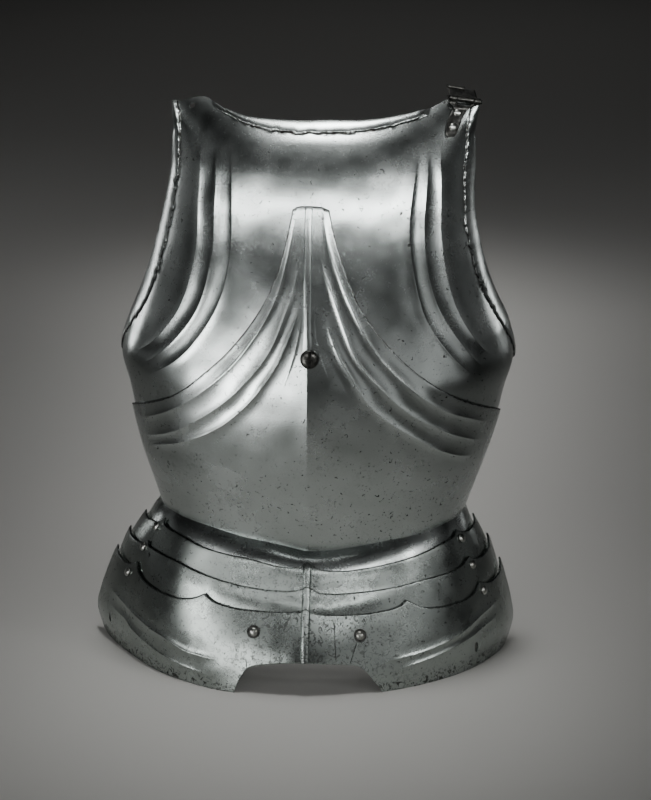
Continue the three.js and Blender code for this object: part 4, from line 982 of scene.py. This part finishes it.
def buildHinge():
    h = hinge
    centre, axis = hingeFrame()
    back, upright = unit(np.cross([0, 0, 1], axis)), np.array([0, 0, 1])
    tilt = math.radians(h["loopTilt"])
    up = unit(back * math.cos(tilt) + upright * math.sin(tilt))
    fixed, turning = ([barShape(span, h["knuckle"], h["knuckleBevel"]) for span in spans]
                      for spans in (h["fixedKnuckles"], [h["loopKnuckle"]]))
    slabs = [wornSlab(centre, axis, up, h["loopWidth"], (3.4, h["loopLength"]), 8),
             wornSlab(centre, axis, up, h["loopKnuckle"], (0.4, 6), 9)]
    bar = barShape(h["barSpan"], h["bar"], 0.5, up * h["loopLength"])
    heads = [barShape(span, h["pinHead"], 0.5) for span in h["pinHeads"]]
    made = {"hinge_leaf": joinedMesh("hingeLeaf", [leafShape()] + fixed),
            "hinge_loop": joinedMesh("hingeLoop", slabs + turning + [bar]),
            "hinge_pin": joinedMesh("hingePin", [barShape(h["pinSpan"], h["pin"], 0.2)] + heads)}
    for seed, (name, (turn, z)) in enumerate(hingeRivetPlaces.items()):
        seat = seatOn(bodyPoint, turn, z, h["leaf"] + h["rivetGap"])
        made[name] = latheMesh(name + "Head", rivetProfile(-3.4, 0.0), rivetSizes["sides"],
                               *seat, 0.03, 60 + seed)
    return made


# Every node's piece, with the body that carries it and its finish.
pieces = {
    "breastplate": (buildBreastplate(), "cuirass", "plate_steel"),
    "plackart": (buildPlackart(), "cuirass", "plate_steel"),
}
print("breastplate and plackart made")
for level, body in ((1, "upper_lame"), (2, "middle_lame"), (3, "lower_lame")):
    pieces[f"lame_{level}"] = (buildLame(level), body, "lame_steel")
print("lames made")
rivetBodies = {"lame_1": "upper_lame", "lame_2": "middle_lame"}
for name, obj in buildRivets().items():
    finish = "dark_iron" if "washer" in name else "rivet_steel"
    pieces[name] = (obj, rivetBodies.get(name[:6], "lower_lame"), finish)
pieces["central_screw"] = (buildScrew(), "cuirass", "dark_iron")
for name, obj in buildHinge().items():
    finish = "rivet_steel" if "rivet" in name else "dark_iron"
    pieces[name] = (obj, "shoulder_loop" if name == "hinge_loop" else "cuirass", finish)
print("rivets, screw and hinge made")


def toLinear(code):
    # sRGB hex as seen on the metal, to the linear values that shaders need.
    values = [int(code[i:i + 2], 16) / 255 for i in (1, 3, 5)]
    return [v / 12.92 if v <= 0.04045 else ((v + 0.055) / 1.055) ** 2.4 for v in values] + [1.0]


def setNode(node, settings=None, links=None):
    # Settings are attributes, a ramp's stops or input constants; links are input name to output socket.
    for key, value in (settings or {}).items():
        if key == "stops":
            for element, (place, tone) in zip(node.color_ramp.elements, value):
                element.position = place
                element.color = tone if isinstance(tone, list) else [tone, tone, tone, 1.0]
        elif isinstance(key, str) and hasattr(node, key):
            setattr(node, key, value)
        else:
            node.inputs[key].default_value = value
    for key, source in (links or {}).items():
        node.id_data.links.new(source, node.inputs[key])
    return node


def addNode(tree, kind, settings=None, links=None, output=0):
    return setNode(tree.nodes.new("ShaderNode" + kind), settings, links).outputs[output]


def newMaterial(name):
    # The material, with ways to add its nodes and to set its shader.
    material = bpy.data.materials.new(name)
    material.use_nodes = True
    tree = material.node_tree
    return material, partial(addNode, tree), partial(setNode, tree.nodes["Principled BSDF"])


def perMm(size):
    # Texture scale, per metre, of a pattern whose features are this many millimetres wide.
    return 1000 / size


steelSkin = dict(
    # size in mm, detail, roughness and distortion of each pattern
    bloom=(45, 5, 0.55, 0.0),      # cloudy tone from handling and cleaning
    polish=(1.1, 3, 0.6, 0.0),     # stone marks; far finer on real steel, drawn as coarse as shows
    grain=(1.3, 3, 0.6, 0.0),      # ground surface between them, drawn coarse for the same reason
    patches=(30, 3, 0.5, 0.0),     # areas that rusted most
    pits=(3.4, 3, 0.6, 1.2),       # pits in those areas
    sparse=(3.4, 2, 0.5, 1.5),     # and single pits anywhere
    wander=(2.2, 4, 0.7, 0.0),     # how the painted edge shade and the crack dirt stray from their lines
)
# Dark colour for dirt in pits and cracks, and for the painted shade along raw and lapped edges.
dirtAndShadeColour = "#211f1d"


def steelMaterial(name, clean, stained, roughLow, roughHigh, pitShare):
    # Hammered plate, ground and polished by hand: broad soft reflections with the faint drag of the
    # polishing stone across them, fine pits left by rust that was cleaned out, dark dirt in pits and cracks,
    # and painted shade as a dark line along the raw and lapped edges.
    material, add, setShader = newMaterial(name)
    place = add("TexCoord", output="Object")
    alongPlate = add("Mapping", {"Scale": (0.12, 0.12, 1.0)}, {"Vector": place})
    skin = {}
    for key, (size, detail, rough, distortion) in steelSkin.items():
        pattern = {"Scale": perMm(size), "Detail": detail, "Roughness": rough, "Distortion": distortion}
        skin[key] = add("TexNoise", pattern, {"Vector": alongPlate if key == "polish" else place})
    marks = {key: add("Attribute", {"attribute_name": key}, output="Fac") for key in PlateShape.away}
    multiply, plus, most = ({"operation": kind} for kind in ("MULTIPLY", "ADD", "MAXIMUM"))

    fewer = pitShare * 0.2
    patches = add("ValToRGB", {"stops": [(0.52 - fewer, 0.0), (0.72 - fewer, 1.0)]}, {0: skin["patches"]})
    patches = add("Math", {**multiply, 1: pitShare}, {0: patches})
    wear = add("Math", most, {0: patches, 1: marks["wear"]})
    spots = add("ValToRGB", {"stops": [(0.53, 0.0), (0.58, 1.0)]}, {0: skin["pits"]})
    sparse = add("ValToRGB", {"stops": [(0.665, 0.0), (0.705, 1.0)]}, {0: skin["sparse"]})
    pitting = add("Math", most, {0: add("Math", multiply, {0: spots, 1: wear}), 1: sparse})

    stray = add("Math", {"operation": "SUBTRACT", 1: 0.5}, {0: skin["wander"]})
    stray = add("Math", {**multiply, 1: 4.0}, {0: stray})
    # Painted shade: a dark line along each plate's raw or lapped edge; the crack line is dirt.
    strays = dict(rawEdge=stray, crack=add("Math", {**multiply, 1: 0.5}, {0: stray}))
    fades = dict(rawEdge=[(0.3, 1.0), (0.9, 0.0)], crack=[(0.2, 1.0), (0.5, 0.0)])    # mm from the line
    lines = {}
    for key, own in strays.items():
        distance = add("Math", {"operation": "ABSOLUTE"}, {0: add("Math", plus, {0: marks[key], 1: own})})
        lines[key] = add("ValToRGB", {"stops": fades[key]}, {0: distance})
    cracks = add("Math", multiply, {0: lines["crack"], 1: marks["crackReach"]})
    # Darkening: painted shade along the edge lines, with dirt in the cracks and pits.
    dirtAndShade = add("Math", most, {0: add("Math", most, {0: lines["rawEdge"], 1: cracks}),
                              1: add("Math", {**multiply, 1: 0.95}, {0: pitting})})

    tone = add("ValToRGB", {"stops": [(0.3, toLinear(stained)), (0.65, toLinear(clean))]}, {0: skin["bloom"]})
    colour = add("Mix", {"data_type": "RGBA", 7: toLinear(dirtAndShadeColour)}, {0: dirtAndShade, 6: tone}, 2)
    rough = add("MapRange", {"From Min": 0.3, "From Max": 0.7, "To Min": roughLow, "To Max": roughHigh},
                {"Value": skin["bloom"]})
    rough = add("Math", plus, {0: rough, 1: add("Math", {**multiply, 1: 0.15}, {0: dirtAndShade})})
    # Relief of each: strength, depth in mm, and whether it goes inward.
    reliefs = (skin["polish"], 0.10, 0.1, False), (skin["grain"], 0.08, 0.1, False), (dirtAndShade, 0.12, 0.2, True)
    normal = {}
    for height, strength, depth, inward in reliefs:
        bump = {"Strength": strength, "Distance": depth / 1000, "invert": inward}
        normal = {"Normal": add("Bump", bump, {"Height": height, **normal})}
    setShader({"Metallic": 1.0}, {"Base Color": colour, "Roughness": rough, **normal})
    return material


def ironMaterial(name, clean, stained, rough):
    # Small forged iron parts, blackened by scale and handling, with a random mottle of brighter and darker
    # tone.
    material, add, setShader = newMaterial(name)
    place = add("TexCoord", output="Object")
    mottle = add("TexNoise", {"Scale": perMm(3.5), "Detail": 5.0, "Roughness": 0.65}, {"Vector": place})
    tone = add("ValToRGB", {"stops": [(0.36, toLinear(stained)), (0.64, toLinear(clean))]}, {0: mottle})
    bump = add("Bump", {"Strength": 0.4, "Distance": 0.0002}, {"Height": mottle})
    setShader({"Metallic": 1.0, "Roughness": rough}, {"Base Color": tone, "Normal": bump})
    return material


looks = {
    # clean and stained tone, roughness where clean and where stained, share of pitted areas
    "plate_steel": steelMaterial("plateSteel", "#c0c6c4", "#aeb5b2", 0.2, 0.3, 0.2),
    "lame_steel": steelMaterial("lameSteel", "#a6ada9", "#919894", 0.21, 0.32, 0.25),
    "rivet_steel": ironMaterial("rivetSteel", "#c9cbc6", "#8b8b84", 0.3),
    "dark_iron": ironMaterial("darkIron", "#565653", "#232322", 0.36),
}
for name, (obj, body, slot) in pieces.items():
    dressPiece(obj, name, body, looks[slot])
print("materials set")


# Stage, camera and light.
studio = dict(
    floorColour="#c9c8c4",
    floorReach=6.0,       # from the middle to each side
    worldTop="#0b0c0d",
    worldLow="#303232",
    worldStrength=0.3,
    lensMm=132.95,
    distance=2.6,
    target=(0.020945, 0.019468, 0.241),
    elevation=17.0,
    yaw=3.0,
    roll=-0.3,
)


def buildStage():
    reach = studio["floorReach"]
    floorMesh = bpy.data.meshes.new("studioFloor")
    corners = [(-reach, -reach, 0), (reach, -reach, 0), (reach, reach, 0), (-reach, reach, 0)]
    floorMesh.from_pydata(corners, [], [(0, 1, 2, 3)])
    material, _, setShader = newMaterial("matteFloor")
    setShader({"Base Color": toLinear(studio["floorColour"]), "Roughness": 0.9})
    floorMesh.materials.append(material)
    placeInScene("studioFloor", floorMesh)


def buildWorld():
    world = bpy.data.worlds.new("studioWorld")
    bpy.context.scene.world = world
    world.use_nodes = True
    add = partial(addNode, world.node_tree)
    height = add("SeparateXYZ", None, {0: add("TexCoord", output="Generated")}, "Z")
    height = add("MapRange", {"From Min": -0.2, "From Max": 0.6}, {"Value": height})
    stops = [(0.0, toLinear(studio["worldLow"])), (0.9, toLinear(studio["worldTop"]))]
    setNode(world.node_tree.nodes["Background"], {"Strength": studio["worldStrength"]},
            {"Color": add("ValToRGB", {"stops": stops}, {0: height})})


def aimAt(obj, place, target, roll=0.0):
    # Points the object's -z axis from its place to the target, with z up.
    back = (Vector(place) - Vector(target)).normalized()
    right = Vector((0, 0, 1)).cross(back).normalized()
    up = back.cross(right)
    c, s = math.cos(math.radians(roll)), math.sin(math.radians(roll))
    rotation = Matrix((right * c - up * s, right * s + up * c, back)).transposed().to_4x4()
    obj.matrix_world = Matrix.Translation(place) @ rotation


def fromAngles(azimuth, elevation):
    # Direction out from the part: azimuth 0 is its front, + the viewer's right.
    a, e = math.radians(azimuth), math.radians(elevation)
    return Vector((math.sin(a) * math.cos(e), -math.cos(a) * math.cos(e), math.sin(e)))


def buildCamera():
    target = Vector(studio["target"])
    data = bpy.data.cameras.new("studioCamera")
    data.lens = studio["lensMm"]
    data.sensor_width = 36
    data.clip_end = 50
    camera = placeInScene("studioCamera", data)
    place = target + fromAngles(studio["yaw"], studio["elevation"]) * studio["distance"]
    aimAt(camera, place, target, studio["roll"])
    bpy.context.scene.camera = camera


keyLamps = dict(
    # row of narrow lamps for the upper plates: azimuth, elevation, height, power
    keyLeftFar=(-56, 13, 0.34, 0.20),
    keyLeftOuter=(-42, 19, 0.36, 0.26),
    keyLeft=(-28, 23, 0.36, 0.27),
    keyLeftInner=(-14, 25, 0.36, 0.24),
    keyMiddle=(0, 24.5, 0.4, 0.25),
    keyRightInner=(14, 23.5, 0.46, 0.34),
    keyRight=(28, 21, 0.54, 0.42),
    keyRightOuter=(42, 18, 0.4, 0.36),
    keyRightFar=(56, 13, 0.34, 0.28),
)
keyCommon = dict(distance=3.0, width=1.1, spread=18, aim=0.53)
softboxes = dict(
    # azimuth, elevation, distance, width, height, power, spread in degrees, height it is aimed at
    fauldLeft=(-58, 8, 1.2, 0.4, 0.12, 0.16, 60, 0.04),
    fauldRight=(58, 24, 2.6, 0.5, 0.36, 0.09, 20, 0.06),
    bellyLeft=(-35, -16, 0.66, 0.48, 0.16, 0.32, 56, 0.26),
    bellyRight=(36, -13, 0.85, 0.6, 0.2, 0.06, 100, 0.26),
    chestRight=(60, -4, 1.1, 0.5, 0.4, 0.06, 90, 0.26),
    upperFill=(6, 50, 3.0, 2.0, 0.5, 0.04, 50, 0.26),
    rimLeft=(-133, -3, 2.0, 0.7, 0.36, 0.035, 14, 0.37),
    rimRight=(135, -2, 2.0, 0.6, 0.3, 0.018, 14, 0.38),
    sideLeft=(-108, 4, 2.2, 1.4, 1.0, 0.03, 40, 0.26),
    sideRight=(108, 4, 2.2, 1.4, 1.0, 0.02, 40, 0.26),
    backFill=(180, 40, 3.0, 1.6, 0.8, 0.25, 40, 0.26),
)
floorLamps = dict(
    # x and y above the floor, height, width, depth, power, spread
    floorPool=(0.0, 0.5, 2.2, 0.34, 1.8, 1.3, 22),
    backPool=(0.0, 3.2, 2.4, 1.5, 1.5, 0.6, 80),
)


def softLamp(name, place, target, width, height, power, spread):
    data = bpy.data.lights.new(name, "AREA")
    data.shape = "RECTANGLE"
    data.size, data.size_y, data.energy, data.spread = width, height, power, math.radians(spread)
    aimAt(placeInScene(name, data), place, target)


def buildLights():
    k = keyCommon
    rows = {name: (azimuth, elevation, k["distance"], k["width"], height, power, k["spread"], k["aim"])
            for name, (azimuth, elevation, height, power) in keyLamps.items()}
    for name, (azimuth, elevation, distance, *rest, aim) in {**rows, **softboxes}.items():
        target = Vector((0.0, 0.0, aim))
        softLamp(name, target + distance * fromAngles(azimuth, elevation), target, *rest)
    for name, (x, y, z, *rest) in floorLamps.items():
        softLamp(name, (x, y, z), (x, y + 0.01, 0), *rest)


buildStage()
buildWorld()
buildCamera()
buildLights()
print("stage, camera and lights set")
